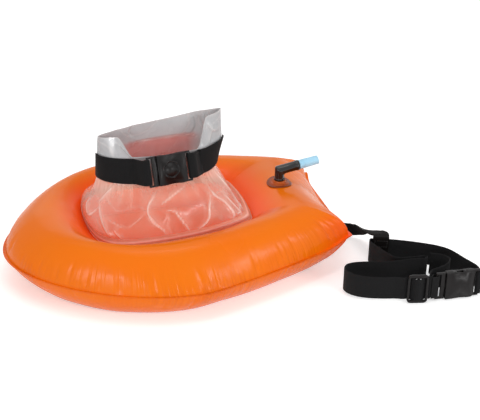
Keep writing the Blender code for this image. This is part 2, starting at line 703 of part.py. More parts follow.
def buckle_socket(name, with_boss):
    """The socket: a hollow body with two side windows that taper down to its webbing bar."""
    start = SOCKET_MOUTH
    end = BUCKLE_HALF
    slot_end = end - BAR_WIDTH
    slot_start = slot_end - SLOT_WIDTH
    thick = BUCKLE_THICKNESS / 2
    thin = BUCKLE_END_THICKNESS / 2
    shoulder = slot_start - thick
    profile = [(start, -thick), (shoulder, -thick), (slot_start, -thin), (end, -thin), (end, thin), (slot_start, thin),
               (shoulder, thick), (start, thick)]
    bm = bmesh.new()
    side = bm.faces.new([bm.verts.new((x, -HALF_HEIGHT, z)) for x, z in profile])
    raised = bmesh.ops.extrude_face_region(bm, geom=[side])
    far = [v for v in raised["geom"] if isinstance(v, bmesh.types.BMVert)]
    bmesh.ops.translate(bm, verts=far, vec=(0, BUCKLE_HEIGHT, 0))
    socket = finish_mesh(name, bm, BUCKLE_BLACK, 0.42)
    add_rounding(socket, EDGE_ROUNDING)
    if with_boss:
        boss = cylinder_tool(name + "_boss", BOSS_RADIUS, thick - FUSE_DEPTH, thick + BOSS_HEIGHT, BOSS_AHEAD, 0)
        add_boolean(socket, boss, "UNION")
        groove = cylinder_tool(
            name + "_groove", BOSS_GROOVE_RADIUS, thick + BOSS_HEIGHT - BOSS_GROOVE_DEPTH,
            thick + BOSS_HEIGHT + CUT_OVERRUN, BOSS_AHEAD, 0, BOSS_GROOVE_RADIUS - BOSS_GROOVE_WIDTH,
        )
        add_boolean(socket, groove, "DIFFERENCE")
    room = PLUG_THICKNESS / 2 + CAVITY_CLEARANCE
    cavity = box_tool(
        name + "_cavity", (start - CUT_OVERRUN, -CAVITY_HALF_WIDTH, -room), (start + CAVITY_DEPTH, CAVITY_HALF_WIDTH, room)
    )
    add_boolean(socket, cavity, "DIFFERENCE")
    window = box_tool(
        name + "_windows", (start + WINDOW_START, -HALF_HEIGHT - CUT_OVERRUN, -room),
        (start + WINDOW_START + WINDOW_LENGTH, HALF_HEIGHT + CUT_OVERRUN, room),
    )
    add_boolean(socket, window, "DIFFERENCE")
    slot = box_tool(
        name + "_slot", (slot_start, -SLOT_HALF_HEIGHT, -thick), (slot_end, SLOT_HALF_HEIGHT, thick)
    )
    add_boolean(socket, slot, "DIFFERENCE")
    for way in (-1, 1):
        middle = start + WINDOW_START + WINDOW_LENGTH / 2
        waist = cylinder_tool(
            name + "_waist", WAIST_RADIUS, -BUCKLE_THICKNESS, BUCKLE_THICKNESS, middle,
            way * (HALF_HEIGHT + WAIST_RADIUS - WAIST_DEPTH),
        )
        add_boolean(socket, waist, "DIFFERENCE")
    return socket


def frame_at(origin, along, up):
    """A placement whose X runs along a buckle, Y up its height and Z out of its face."""
    x_axis = along.normalized()
    y_axis = (up - x_axis * up.dot(x_axis)).normalized()
    z_axis = x_axis.cross(y_axis)
    placed = Matrix((x_axis, y_axis, z_axis)).transposed().to_4x4()
    return Matrix.Translation(origin) @ placed


def mouth_buckle_frame():
    low = STRAP_LOW.point(Vector((0, -1)))
    high = STRAP_HIGH.point(Vector((0, -1)))
    turn = math.radians(MOUTH_BUCKLE_TURN)
    along = Vector((math.cos(turn), math.sin(turn), 0))
    up = Vector((0, high.y - low.y, high.z - low.z))
    frame = frame_at(Vector((MOUTH_BUCKLE_AHEAD, (low.y + high.y) / 2, (low.z + high.z) / 2)), along, up)
    return frame @ Matrix.Translation((0, 0, MOUTH_BUCKLE_STANDOFF))


def upright_frame(x, y, turn, height):
    angle = math.radians(turn)
    along = Vector((math.cos(angle), math.sin(angle), 0))
    return frame_at(Vector((x, y, height)), along, Vector((0, 0, 1)))


def place_buckle(prefix, frame, with_boss):
    """One side-release buckle with its plug, socket and two prongs, each with its origin on its joint."""
    plug = buckle_plug(prefix + "_plug")
    socket = buckle_socket(prefix + "_socket", with_boss)
    plug.matrix_world = frame
    socket.matrix_world = frame
    for name, side in (("_prong_upper", 1), ("_prong_lower", -1)):
        prong = buckle_prong(prefix + name, side)
        root = Vector((PLUG_SHOULDER + GAP, PRONG_ROOT_INNER * side, 0))
        prong.matrix_world = frame @ Matrix.Translation(root)


def fold_points(bar_x, came_from, first_side, frame, lead, flap):
    """Webbing that goes round a buckle's bar through its slot and back, from one face to the other."""
    local = [(bar_x + came_from * lead, first_side * FOLD_RADIUS)]
    for step in range(FOLD_STEPS + 1):
        angle = HALF_TURN * step / FOLD_STEPS
        local.append((
            bar_x - came_from * FOLD_RADIUS * math.sin(angle), first_side * FOLD_RADIUS * math.cos(angle),
        ))
    local.append((bar_x + came_from * flap, -first_side * FOLD_RADIUS))
    return [frame @ Vector((x, 0, z)) for x, z in local]


def mouth_straps(units, frame):
    """The two strap lengths that lie on the film's front between its ends and the buckle."""
    buckle_up = (frame.to_3x3() @ Vector((0, 1, 0))).normalized()
    for name, way in (("mouth_strap_rear", -1), ("mouth_strap_nose", 1)):
        bar = frame @ Vector((way * BAR_PLACE, 0, 0))
        reach = BUCKLE_HALF + SLOT_WIDTH * 4
        ring = []
        for unit in units:
            if unit.x * way <= 0 or unit.y > STRAP_WRAP_SHARE:
                continue
            low = STRAP_LOW.point(unit)
            high = STRAP_HIGH.point(unit)
            middle = (low + high) / 2
            if abs(middle.x - MOUTH_BUCKLE_AHEAD) < reach:
                continue
            ring.append((middle, (high - low).normalized()))
        ring.sort(key=lambda item: -abs(math.atan2(item[0].y, item[0].x - MOUTH_BUCKLE_AHEAD) + HALF_TURN / 2))
        centres = []
        across = []
        for n, (middle, up) in enumerate(ring):
            ahead = ring[min(n + 1, len(ring) - 1)][0] - ring[max(n - 1, 0)][0]
            outward = up.cross(ahead).normalized() * way
            centres.append(middle + outward * (3 * GAP + WEBBING_THICKNESS / 2))
            across.append(up)
        folded = fold_points(way * BAR_PLACE, way, 1, frame, FOLD_SHORT_FLAP, FOLD_SHORT_FLAP)
        route = smooth_route(centres[-2:] + folded[:2], ROUTE_STEPS)
        join = route[ROUTE_STEPS + 1:2 * ROUTE_STEPS]
        strip(
            name, centres + join + folded, across + [buckle_up] * (len(join) + len(folded)), WEBBING, WEBBING_THICKNESS
        )


def nose_panel_place(x, y, outer, inner):
    """Share of the ruling, and share along the nose edge, of a place near the middle of the nose."""
    middle_outer = outer[0]
    middle_inner = inner[0]
    share = (middle_outer.x - x) / (middle_outer.x - middle_inner.x)
    half = blend(NOSE_HALF_WIDTH, inner[NOSE_STEPS].y, share)
    return share, y / half


def float_top(x, y, outer, inner):
    """Height of the upper panel at a place near the middle of the nose."""
    share, along = nose_panel_place(x, y, outer, inner)
    return SEAM_HEIGHT + GAP / 2 + panel_height(share, 1, nose_fullness(abs(along)))


def valve_base(outer, inner):
    """A welded flange that follows the float, with an upright collar that the elbow turns in."""
    sections = []
    bore = ELBOW_RADIUS + GAP
    top = float_top(VALVE_X, 0, outer, inner) + GAP
    for step in range(ROUND_STEPS):
        angle = 2 * HALF_TURN * step / ROUND_STEPS
        along = Vector((math.cos(angle), math.sin(angle)))

        def under(radius):
            x = VALVE_X + along.x * radius
            y = along.y * radius
            return Vector((x, y, float_top(x, y, outer, inner) + GAP))

        radii = [VALVE_FLANGE_RADIUS, (VALVE_FLANGE_RADIUS + VALVE_COLLAR_RADIUS) / 2, VALVE_COLLAR_RADIUS, bore]
        bottom = [under(r) for r in radii]
        upper = [p + Vector((0, 0, VALVE_FLANGE_THICKNESS)) for p in bottom[:3]]
        rim = top + VALVE_COLLAR_HEIGHT
        collar = [
            Vector((VALVE_X + along.x * bore, along.y * bore, rim)),
            Vector((VALVE_X + along.x * VALVE_COLLAR_RADIUS, along.y * VALVE_COLLAR_RADIUS, rim)),
        ]
        sections.append(bottom + collar + upper[::-1])
    return ring_body("valve_base", sections, VALVE_AMBER, 0.25)


def turned_tube(name, stations, colour, roughness):
    """A closed body from round or oval sections, each with its centre, directions and two radii."""
    bm = bmesh.new()
    rings = []
    for centre, right, up, half_width, half_height in stations:
        ring = []
        for step in range(ROUND_STEPS):
            angle = 2 * HALF_TURN * step / ROUND_STEPS
            offset = right * (half_width * math.cos(angle)) + up * (half_height * math.sin(angle))
            ring.append(bm.verts.new(centre + offset))
        rings.append(ring)
    for ring, following in zip(rings, rings[1:]):
        for j in range(ROUND_STEPS):
            k = (j + 1) % ROUND_STEPS
            bm.faces.new((ring[j], ring[k], following[k], following[j]))
    bm.faces.new(rings[0])
    bm.faces.new(rings[-1])
    return finish_mesh(name, bm, colour, roughness)


def valve_places(outer, inner):
    """The foot of the elbow, its corner, and the direction and up direction of its arm."""
    foot = Vector((VALVE_X, 0, float_top(VALVE_X, 0, outer, inner) + 2 * GAP))
    tilt = math.radians(ARM_TILT)
    arm = Vector((math.cos(tilt), 0, math.sin(tilt)))
    arm_up = Vector((-math.sin(tilt), 0, math.cos(tilt)))
    corner = foot + Vector((0, 0, ELBOW_COLUMN))
    return foot, corner, arm, arm_up


def valve_elbow(outer, inner):
    foot, corner, arm, arm_up = valve_places(outer, inner)
    side = Vector((0, 1, 0))
    up = Vector((0, 0, 1))
    bend = HALF_TURN / 2 - math.radians(ARM_TILT)
    setback = ELBOW_BEND_RADIUS * math.tan(bend / 2)
    bend_centre = corner - up * setback + Vector((ELBOW_BEND_RADIUS, 0, 0))
    stations = [(foot, Vector((-1, 0, 0)), side, ELBOW_RADIUS, ELBOW_RADIUS)]
    for step in range(FOLD_STEPS + 1):
        angle = bend * step / FOLD_STEPS
        outward = Vector((-math.cos(angle), 0, math.sin(angle)))
        stations.append((bend_centre + outward * ELBOW_BEND_RADIUS, outward, side, ELBOW_RADIUS, ELBOW_RADIUS))
    end = corner + arm * ELBOW_ARM
    lip = ELBOW_RADIUS - PRONG_ROUNDING
    bore = ELBOW_RADIUS - ELBOW_WALL
    stations.append((end - arm * PRONG_ROUNDING, arm_up, side, ELBOW_RADIUS, ELBOW_RADIUS))
    stations.append((end, arm_up, side, lip, lip))
    stations.append((end, arm_up, side, bore, bore))
    stations.append((end - arm * ELBOW_BORE_DEPTH, arm_up, side, bore, bore))
    elbow = turned_tube("valve_elbow", stations, VALVE_BLACK, 0.12)
    move_origin(elbow, foot)
    return end, arm, arm_up, side


def move_origin(obj, place):
    """Put the object's origin at a place without moving its surface."""
    obj.data.transform(Matrix.Translation(-place))
    obj.location = place


def valve_mouthpiece(end, arm, arm_up, side):
    """The soft mouthpiece: a spigot in the elbow, a shoulder, and a grip that flattens to its tip."""
    spigot = ELBOW_RADIUS - ELBOW_WALL - GAP
    shoulder = end + arm * GAP
    tip = shoulder + arm * MOUTHPIECE_LENGTH
    waist = shoulder + arm * (MOUTHPIECE_LENGTH / 3)
    spigot_end = end - arm * SPIGOT_DEPTH
    bore = MOUTHPIECE_BORE
    lip = tip - arm * PRONG_ROUNDING
    stations = [
        (spigot_end, arm_up, side, bore, bore),
        (spigot_end, arm_up, side, spigot, spigot),
        (shoulder, arm_up, side, spigot, spigot),
        (shoulder, arm_up, side, MOUTHPIECE_RADIUS - PRONG_ROUNDING, MOUTHPIECE_RADIUS - PRONG_ROUNDING),
        (shoulder + arm * PRONG_ROUNDING, arm_up, side, MOUTHPIECE_RADIUS, MOUTHPIECE_RADIUS),
        (waist, arm_up, side, MOUTHPIECE_RADIUS - PRONG_ROUNDING, MOUTHPIECE_RADIUS),
        (lip, arm_up, side, MOUTHPIECE_TIP_HALF_HEIGHT, MOUTHPIECE_TIP_HALF_WIDTH),
        (tip, arm_up, side, MOUTHPIECE_TIP_HALF_HEIGHT - PRONG_ROUNDING, MOUTHPIECE_TIP_HALF_WIDTH - PRONG_ROUNDING),
        (tip, arm_up, side, bore, bore),
    ]
    bm = bmesh.new()
    rings = []
    for centre, up_way, side_way, half_height, half_width in stations:
        ring = []
        for step in range(ROUND_STEPS):
            angle = 2 * HALF_TURN * step / ROUND_STEPS
            ring.append(bm.verts.new(
                centre + up_way * (half_height * math.cos(angle)) + side_way * (half_width * math.sin(angle))
            ))
        rings.append(ring)
    for ring, following in zip(rings, rings[1:] + rings[:1]):
        for j in range(ROUND_STEPS):
            k = (j + 1) % ROUND_STEPS
            bm.faces.new((ring[j], ring[k], following[k], following[j]))
    mouthpiece = finish_mesh("valve_mouthpiece", bm, MOUTHPIECE_BLUE, 0.35)
    move_origin(mouthpiece, end)
    return spigot_end


def valve_poppet(spigot_end, arm, arm_up, side):
    """The stopper behind the mouthpiece, whose rod reaches up the mouthpiece's bore."""
    face = spigot_end - arm * GAP
    back = face - arm * POPPET_HEAD_THICKNESS
    rod_end = face + arm * (GAP + POPPET_REACH)
    stations = [
        (back, arm_up, side, POPPET_HEAD_RADIUS, POPPET_HEAD_RADIUS),
        (face, arm_up, side, POPPET_HEAD_RADIUS, POPPET_HEAD_RADIUS),
        (face, arm_up, side, POPPET_ROD_RADIUS, POPPET_ROD_RADIUS),
        (rod_end, arm_up, side, POPPET_ROD_RADIUS, POPPET_ROD_RADIUS),
    ]
    poppet = turned_tube("valve_poppet", stations, MOUTHPIECE_BLUE, 0.4)
    move_origin(poppet, face)


def patch_grid(outer, inner, off):
    """Places on the lower panel under the middle of the nose, at a distance off it."""
    grid = []
    for row in range(5):
        share = blend(PATCH_START_SHARE, PATCH_END_SHARE, row / 4)
        line = []
        for column in range(-2, 3):
            along = PATCH_HALF_WIDTH_SHARE * column / 2
            o = Vector((outer[0].x, NOSE_HALF_WIDTH * along))
            i = Vector((inner[0].x, inner[NOSE_STEPS].y * along))
            line.append(off_panel(o, i, share, -1, off))
        grid.append(line)
    return grid


def tow_patch(outer, inner):
    """The welded patch that anchors the leash under the nose."""
    near = patch_grid(outer, inner, GAP)
    far = patch_grid(outer, inner, GAP + PATCH_THICKNESS)
    bm = bmesh.new()
    top = [[bm.verts.new(p) for p in line] for line in near]
    bottom = [[bm.verts.new(p) for p in line] for line in far]
    size = len(top)
    for a in range(size - 1):
        for b in range(size - 1):
            for layer in (top, bottom):
                bm.faces.new((layer[a][b], layer[a][b + 1], layer[a + 1][b + 1], layer[a + 1][b]))
    rim = [(0, b) for b in range(size - 1)] + [(a, size - 1) for a in range(size - 1)]
    rim += [(size - 1, b) for b in range(size - 1, 0, -1)] + [(a, 0) for a in range(size - 1, 0, -1)]
    for (a, b), (c, d) in zip(rim, rim[1:] + rim[:1]):
        bm.faces.new((top[a][b], top[c][d], bottom[c][d], bottom[a][b]))
    return finish_mesh("tow_patch", bm, ORANGE, 0.34)


def loop_frame():
    """Where the leash's end loop goes round the belt: X along the belt, Y up, Z towards the buckle side."""
    return upright_frame(LOOP_X, LOOP_Y, LOOP_TURN, BELT_BASE_HEIGHT + WEBBING / 2)


def leash_loop():
    """The leash's end loop, a flat band right round the belt."""
    frame = loop_frame()
    side = WEBBING_THICKNESS / 2 + LOOP_CLEARANCE
    end = WEBBING / 2 + LOOP_CLEARANCE
    half = LEASH_WIDTH / 2
    sections = []
    corners = 4
    for quarter, (sign_z, sign_y) in enumerate([(1, 1), (-1, 1), (-1, -1), (1, -1)]):
        for step in range(corners + 1):
            angle = HALF_TURN / 2 * (quarter + step / corners)
            out_z = math.cos(angle)
            out_y = math.sin(angle)
            ring = []
            for radius, x in [(LOOP_CLEARANCE, -half), (LOOP_CLEARANCE, half), (LOOP_CLEARANCE + WEBBING_THICKNESS, half),
                              (LOOP_CLEARANCE + WEBBING_THICKNESS, -half)]:
                y = sign_y * (end - LOOP_CLEARANCE) + radius * out_y
                z = sign_z * (side - LOOP_CLEARANCE) + radius * out_z
                ring.append(frame @ Vector((x, y, z)))
            sections.append(ring)
    return ring_body("leash_loop", sections, WEBBING_BLACK, 0.7)


def tow_leash(outer, inner):
    """The leash from its patch under the nose to its lap over the loop on the belt."""
    off = GAP + PATCH_THICKNESS + GAP + WEBBING_THICKNESS / 2
    shares = [blend(PATCH_START_SHARE, PATCH_END_SHARE, row / 4) for row in (3, 2, 1, 0)]
    anchored = [off_panel(outer[0], inner[0], share, -1, off) for share in shares]
    frame = loop_frame()
    bend = LOOP_CLEARANCE + WEBBING_THICKNESS * 1.5 + GAP
    high = WEBBING / 2
    front = WEBBING_THICKNESS / 2
    over = [(high + bend, -LEASH_LAP / 2), (high + bend, -LEASH_LAP / 4)]
    for step in range(FOLD_STEPS + 1):
        angle = HALF_TURN / 2 * step / FOLD_STEPS
        over.append((high + bend * math.cos(angle), front + bend * math.sin(angle)))
    over.append((high - LEASH_LAP, front + bend))
    lapped = [frame @ Vector((0, y, z)) for y, z in over]
    free = [Vector(p) for p in LEASH_ROUTE]
    twists = [0, *LEASH_TWIST, 0]
    knots = [anchored[-1]] + free + [lapped[0]]
    middle = smooth_route([anchored[-2]] + knots + [lapped[1]])[ROUTE_STEPS:-ROUTE_STEPS]
    centres = anchored[:-1] + middle + lapped[1:]
    belt_way = (frame.to_3x3() @ Vector((-1, 0, 0))).normalized()
    across = [Vector((0, -1, 0))] * (len(anchored) - 1)
    for n in range(len(middle)):
        at = n / ROUTE_STEPS
        k = min(int(at), len(twists) - 2)
        twist = math.radians(blend(twists[k], twists[k + 1], at - k))
        along = (middle[min(n + 1, len(middle) - 1)] - middle[max(n - 1, 0)]).normalized()
        level = along.cross(Vector((0, 0, 1))).normalized()
        if n == len(middle) - 1:
            level = belt_way
        across.append(level * math.cos(twist) + level.cross(along).normalized() * math.sin(twist))
    across += [belt_way] * (len(lapped) - 1)
    return strip("tow_leash", centres, across, LEASH_WIDTH, WEBBING_THICKNESS)


def slider_weave(frame):
    """Webbing behind the slider's rails and over its middle bar, from its right to its left."""
    off = SLIDER_THICKNESS / 2 + GAP + WEBBING_THICKNESS / 2
    inner_edge = SLIDER_LENGTH / 2 - SLIDER_RAIL
    middle_edge = SLIDER_CENTRE_BAR / 2
    slot_middle = (inner_edge + middle_edge) / 2
    half = [
        (SLIDER_LENGTH / 2 + SLIDER_RAIL, -off), (inner_edge + GAP, -off), (slot_middle, 0), (middle_edge - GAP, off),
    ]
    local = half + [(-x, z) for x, z in reversed(half)]
    return [frame @ Vector((x, 0, z)) for x, z in local]


def belt_slider(frame):
    inner_edge = SLIDER_LENGTH / 2 - SLIDER_RAIL
    middle_edge = SLIDER_CENTRE_BAR / 2
    outline = rounded_rectangle(-SLIDER_LENGTH / 2, SLIDER_LENGTH / 2, SLIDER_HEIGHT / 2, SLIDER_CORNER)
    slots = []
    for low, high in ((-inner_edge, -middle_edge), (middle_edge, inner_edge)):
        slots.append([
            (low, -SLOT_HALF_HEIGHT), (high, -SLOT_HALF_HEIGHT), (high, SLOT_HALF_HEIGHT), (low, SLOT_HALF_HEIGHT),
        ])
    slider = plate("belt_slider", outline, slots, SLIDER_THICKNESS, BUCKLE_BLACK, 0.42, EDGE_ROUNDING)
    slider.matrix_world = frame
    return slider


def belt(buckle, slider):
    """The waist belt, standing on its edge, from the plug's bar round to the socket's bar."""
    middle = BELT_BASE_HEIGHT + WEBBING / 2
    plug_fold = fold_points(-BAR_PLACE, -1, 1, buckle, FOLD_FLAP, FOLD_SHORT_FLAP)
    socket_fold = fold_points(BAR_PLACE, 1, -1, buckle, FOLD_SHORT_FLAP, FOLD_SHORT_FLAP)
    weave = slider_weave(slider)
    straight = [loop_frame() @ Vector((LEASH_WIDTH * share, 0, 0)) for share in LOOP_STRAIGHT_SHARES]
    before = [Vector((x, y, middle)) for x, y in BELT_ROUTE_TO_LOOP]
    after = [Vector((x, y, middle)) for x, y in BELT_ROUTE_FROM_LOOP]
    route = before + straight + after
    centres = list(plug_fold)
    centres += smooth_route([plug_fold[-2], plug_fold[-1]] + weave + route[:1])[ROUTE_STEPS + 1:-1]
    centres += smooth_route(route + socket_fold[:1])[:-1]
    centres += socket_fold
    up = Vector((0, 0, 1))
    strip("belt_webbing", centres, [up] * len(centres), WEBBING, WEBBING_THICKNESS)
    off = -(SLIDER_THICKNESS / 2 + 2 * GAP + WEBBING_THICKNESS * 2)
    start = [slider @ Vector((SLIDER_LENGTH / 4, 0, off)), slider @ Vector((SLIDER_LENGTH / 2, 0, off))]
    tail = smooth_route(start + [Vector((x, y, middle)) for x, y in TAIL_ROUTE])
    strip("belt_tail", tail, [up] * len(tail), WEBBING, WEBBING_THICKNESS)


def main():
    clear_scene()
    outer = outline_points(FLOAT_OUTLINE)
    weld = outline_points(WELD_OUTLINE)
    inner = inner_outline(outer, weld)
    float_panel("float_upper_panel", outer, inner, 1)
    float_panel("float_lower_panel", outer, inner, -1)
    weld_band(outer, inner)
    bag_film(outer, inner, weld)
    bag_floor(inner)
    mouth_frame = mouth_buckle_frame()
    place_buckle("mouth", mouth_frame, True)
    mouth_straps([weld_unit(w) for w in weld], mouth_frame)
    valve_base(outer, inner)
    end, arm, arm_up, side = valve_elbow(outer, inner)
    spigot_end = valve_mouthpiece(end, arm, arm_up, side)
    valve_poppet(spigot_end, arm, arm_up, side)
    tow_patch(outer, inner)
    leash_loop()
    tow_leash(outer, inner)
    middle = BELT_BASE_HEIGHT + WEBBING / 2
    buckle_frame = upright_frame(BELT_BUCKLE_X, BELT_BUCKLE_Y, BELT_BUCKLE_TURN, middle)
    place_buckle("belt", buckle_frame, False)
    slider_frame = upright_frame(SLIDER_X, SLIDER_Y, SLIDER_TURN, SLIDER_HEIGHT / 2)
    belt_slider(slider_frame)
    belt(buckle_frame, upright_frame(SLIDER_X, SLIDER_Y, SLIDER_TURN, middle))


if __name__ == "__main__":
    main()
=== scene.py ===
"""Looks of an open water swim buoy: inflated float, clear dry bag, webbing, buckles, valve, leash and belt.

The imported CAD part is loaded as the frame. Each sub-assembly is a class that builds its own pieces
round the CAD nodes and dresses them. Lengths are metres, +X is the nose and +Z is up.
"""
from __future__ import annotations

import json
import logging
import math
import random
from dataclasses import dataclass, field
from enum import Enum
from typing import Callable, Iterable, Sequence

import bmesh
import bpy
from mathutils import Matrix, Vector, noise
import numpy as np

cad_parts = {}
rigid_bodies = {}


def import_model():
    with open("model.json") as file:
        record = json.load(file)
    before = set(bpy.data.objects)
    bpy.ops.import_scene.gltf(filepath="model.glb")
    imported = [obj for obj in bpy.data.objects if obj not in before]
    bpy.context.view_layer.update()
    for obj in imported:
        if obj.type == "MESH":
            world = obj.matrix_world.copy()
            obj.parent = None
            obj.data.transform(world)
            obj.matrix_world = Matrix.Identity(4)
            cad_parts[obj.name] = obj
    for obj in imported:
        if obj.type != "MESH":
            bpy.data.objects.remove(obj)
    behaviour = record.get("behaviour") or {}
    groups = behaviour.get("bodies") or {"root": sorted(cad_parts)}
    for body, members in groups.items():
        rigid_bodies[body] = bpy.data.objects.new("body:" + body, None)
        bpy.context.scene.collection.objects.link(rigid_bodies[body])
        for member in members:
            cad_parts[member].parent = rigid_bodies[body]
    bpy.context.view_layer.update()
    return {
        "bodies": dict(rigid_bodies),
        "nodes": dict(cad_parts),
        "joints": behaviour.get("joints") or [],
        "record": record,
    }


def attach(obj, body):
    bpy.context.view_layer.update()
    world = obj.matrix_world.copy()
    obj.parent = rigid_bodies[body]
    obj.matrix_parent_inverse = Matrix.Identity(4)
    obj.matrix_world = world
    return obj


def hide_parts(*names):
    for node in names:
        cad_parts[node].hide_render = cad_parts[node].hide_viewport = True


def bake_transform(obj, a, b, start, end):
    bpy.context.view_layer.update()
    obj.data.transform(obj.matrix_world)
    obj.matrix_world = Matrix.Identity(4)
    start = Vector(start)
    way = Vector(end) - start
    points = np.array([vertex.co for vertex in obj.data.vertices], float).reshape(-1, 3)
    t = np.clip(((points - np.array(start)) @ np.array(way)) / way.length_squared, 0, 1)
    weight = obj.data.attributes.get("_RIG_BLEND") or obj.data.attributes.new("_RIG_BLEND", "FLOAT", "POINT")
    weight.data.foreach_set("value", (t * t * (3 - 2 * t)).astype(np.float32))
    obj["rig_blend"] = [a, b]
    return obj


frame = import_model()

LOG = logging.getLogger("swim_buoy")
GAP = 0.0003


# Shader maths


class Socket:
    """An output socket of a material, on which Python operators add Math nodes."""

    def __init__(self, board: "Board", output: bpy.types.NodeSocket) -> None:
        """Keep the board that the socket is on.

        Args:
            board: the material's node board.
            output: the node output that this object stands for.
        """
        self.board = board
        self.output = output

    def _math(self, operation: str, *values: "Socket | float") -> "Socket":
        """Add a Math node and return its result."""
        return self.board.node("ShaderNodeMath", {"operation": operation}, dict(enumerate(values)))

    def __add__(self, other: "Socket | float") -> "Socket":
        """Sum."""
        return self._math("ADD", self, other)

    def __radd__(self, other: float) -> "Socket":
        """Sum with a number on the left."""
        return self._math("ADD", other, self)

    def __sub__(self, other: "Socket | float") -> "Socket":
        """Difference."""
        return self._math("SUBTRACT", self, other)

    def __rsub__(self, other: float) -> "Socket":
        """Difference from a number."""
        return self._math("SUBTRACT", other, self)

    def __mul__(self, other: "Socket | float") -> "Socket":
        """Product."""
        return self._math("MULTIPLY", self, other)

    def __rmul__(self, other: float) -> "Socket":
        """Product with a number on the left."""
        return self._math("MULTIPLY", other, self)

    def __truediv__(self, other: "Socket | float") -> "Socket":
        """Quotient."""
        return self._math("DIVIDE", self, other)

    def __pow__(self, other: float) -> "Socket":
        """Power."""
        return self._math("POWER", self, other)

    def __abs__(self) -> "Socket":
        """Absolute value."""
        return self._math("ABSOLUTE", self)

    def larger(self, other: "Socket | float") -> "Socket":
        """The larger of two values."""
        return self._math("MAXIMUM", self, other)

    def sine(self) -> "Socket":
        """Sine of an angle in radians."""
        return self._math("SINE", self)

    def clamped(self) -> "Socket":
        """The value held between 0 and 1."""
        return self._math("MINIMUM", self.larger(0.0), 1.0)

    def above(self, edge: float, soft: float) -> "Socket":
        """A mask that is 1 above an edge and fades to 0 over a soft width below it."""
        return ((self - (edge - soft)) / soft).clamped()

    def wave(self, pitch: float) -> "Socket":
        """A wave between 0 and 1 over a coordinate in metres, once for each pitch."""
        return (self * (2 * math.pi / pitch)).sine() * 0.5 + 0.5


class Board:
    """The node tree of one material, or of the surroundings."""

    def __init__(self, name: str, surroundings: bool = False) -> None:
        """Start a material or the surroundings with nodes.

        Args:
            name: its name.
            surroundings: make the surroundings in place of a material.
        """
        kept = bpy.data.worlds if surroundings else bpy.data.materials
        self.data = kept.new(name)
        self.data.use_nodes = True
        self.tree = self.data.node_tree
        self.shader = self.tree.nodes["Background" if surroundings else "Principled BSDF"]

    def node(self, kind: str, settings: dict | None = None, values: dict | None = None,
             output: int | str = 0) -> Socket:
        """Add a node, set its settings, then its sockets.

        Args:
            kind: the node's type.
            settings: attributes of the node, set first.
            values: numbers, colours or sockets for its inputs, by index or name.
            output: the output to return, by index or name.

        Returns:
            The chosen output.
        """
        made = self.tree.nodes.new(kind)
        for key, value in (settings or {}).items():
            setattr(made, key, value)
        for key, value in (values or {}).items():
            self.feed(made.inputs[key], value)
        return Socket(self, made.outputs[output])

    def feed(self, target: bpy.types.NodeSocket, value: "Socket | float | tuple") -> None:
        """Link a socket to an input, or set the input's own value.

        Args:
            target: the input.
            value: what it gets.
        """
        if isinstance(value, Socket):
            self.tree.links.new(value.output, target)
        else:
            target.default_value = value

    def place(self) -> Socket:
        """Object coordinates."""
        return self.node("ShaderNodeTexCoord", output="Object")

    def attribute(self, name: str) -> Socket:
        """A number stored on the mesh's points."""
        return self.node("ShaderNodeAttribute", {"attribute_name": name}, output="Fac")

    def noise(self, scale: float, detail: float = 2.0, rough: float = 0.5, at: Socket | None = None
              ) -> Socket:
        """Noise between 0 and 1.

        Args:
            scale: how many patches there are in a metre.
            detail: how many finer layers lie on it.
            rough: how strong the finer layers are.
            at: the vector that it is read at, in place of Object coordinates.

        Returns:
            The noise.
        """
        values = {"Vector": at or self.place(), "Scale": scale, "Detail": detail, "Roughness": rough}
        return self.node("ShaderNodeTexNoise", {"noise_dimensions": "3D"}, values)

    def cells(self, scale: float) -> Socket:
        """Distance to the nearest cell point of a Voronoi pattern over Object coordinates."""
        return self.node("ShaderNodeTexVoronoi", {}, {"Vector": self.place(), "Scale": scale})

    def mix(self, share: "Socket | float", low: "Socket | tuple", high: "Socket | tuple") -> Socket:
        """Blend two colours."""
        settings = {"data_type": "RGBA", "blend_type": "MIX"}
        return self.node("ShaderNodeMix", settings, {0: share, 6: low, 7: high}, output=2)

    def round_noise(self, scale: float, detail: float, turns: float, up: Socket) -> Socket:
        """Noise that runs in streaks up a piece whose points store their direction round it.

        Args:
            scale: the noise's scale.
            detail: how many finer layers lie on it.
            turns: how fast it changes on the way round.
            up: the coordinate that the streaks follow.

        Returns:
            The noise.
        """
        parts = {0: self.attribute("round_x") * turns, 1: self.attribute("round_y") * turns, 2: up}
        return self.noise(scale, detail, 0.55, self.node("ShaderNodeCombineXYZ", {}, parts))

    def bump(self, height: Socket, distance: float, strength: float = 1.0, under: Socket | None = None
             ) -> Socket:
        """A Bump node.

        Args:
            height: what stands out.
            distance: how far it stands out, in metres.
            strength: how strongly it is drawn.
            under: the bump that it lies over.

        Returns:
            The normal.
        """
        values: dict = {"Height": height, "Distance": distance, "Strength": strength}
        if under is not None:
            values["Normal"] = under
        return self.node("ShaderNodeBump", {}, values)

    def dress(self, **sockets: "Socket | float | tuple") -> bpy.types.Material | bpy.types.World:
        """Set the shader's sockets.

        Args:
            **sockets: values or links by the socket's name, with spaces written as underscores.

        Returns:
            The finished material or surroundings.
        """
        for key, value in sockets.items():
            self.feed(self.shader.inputs[key.replace("_", " ")], value)
        return self.data


def linear(red: int, green: int, blue: int) -> tuple[float, float, float, float]:
    """A colour as the shader's linear values.

    Args:
        red: screen value from 0 to 255.
        green: screen value from 0 to 255.
        blue: screen value from 0 to 255.

    Returns:
        Red, green, blue and a full alpha.
    """
    shares = [value / 255 for value in (red, green, blue)]
    return (*(c / 12.92 if c <= 0.04045 else ((c + 0.055) / 1.055) ** 2.4 for c in shares), 1.0)


# Finishes


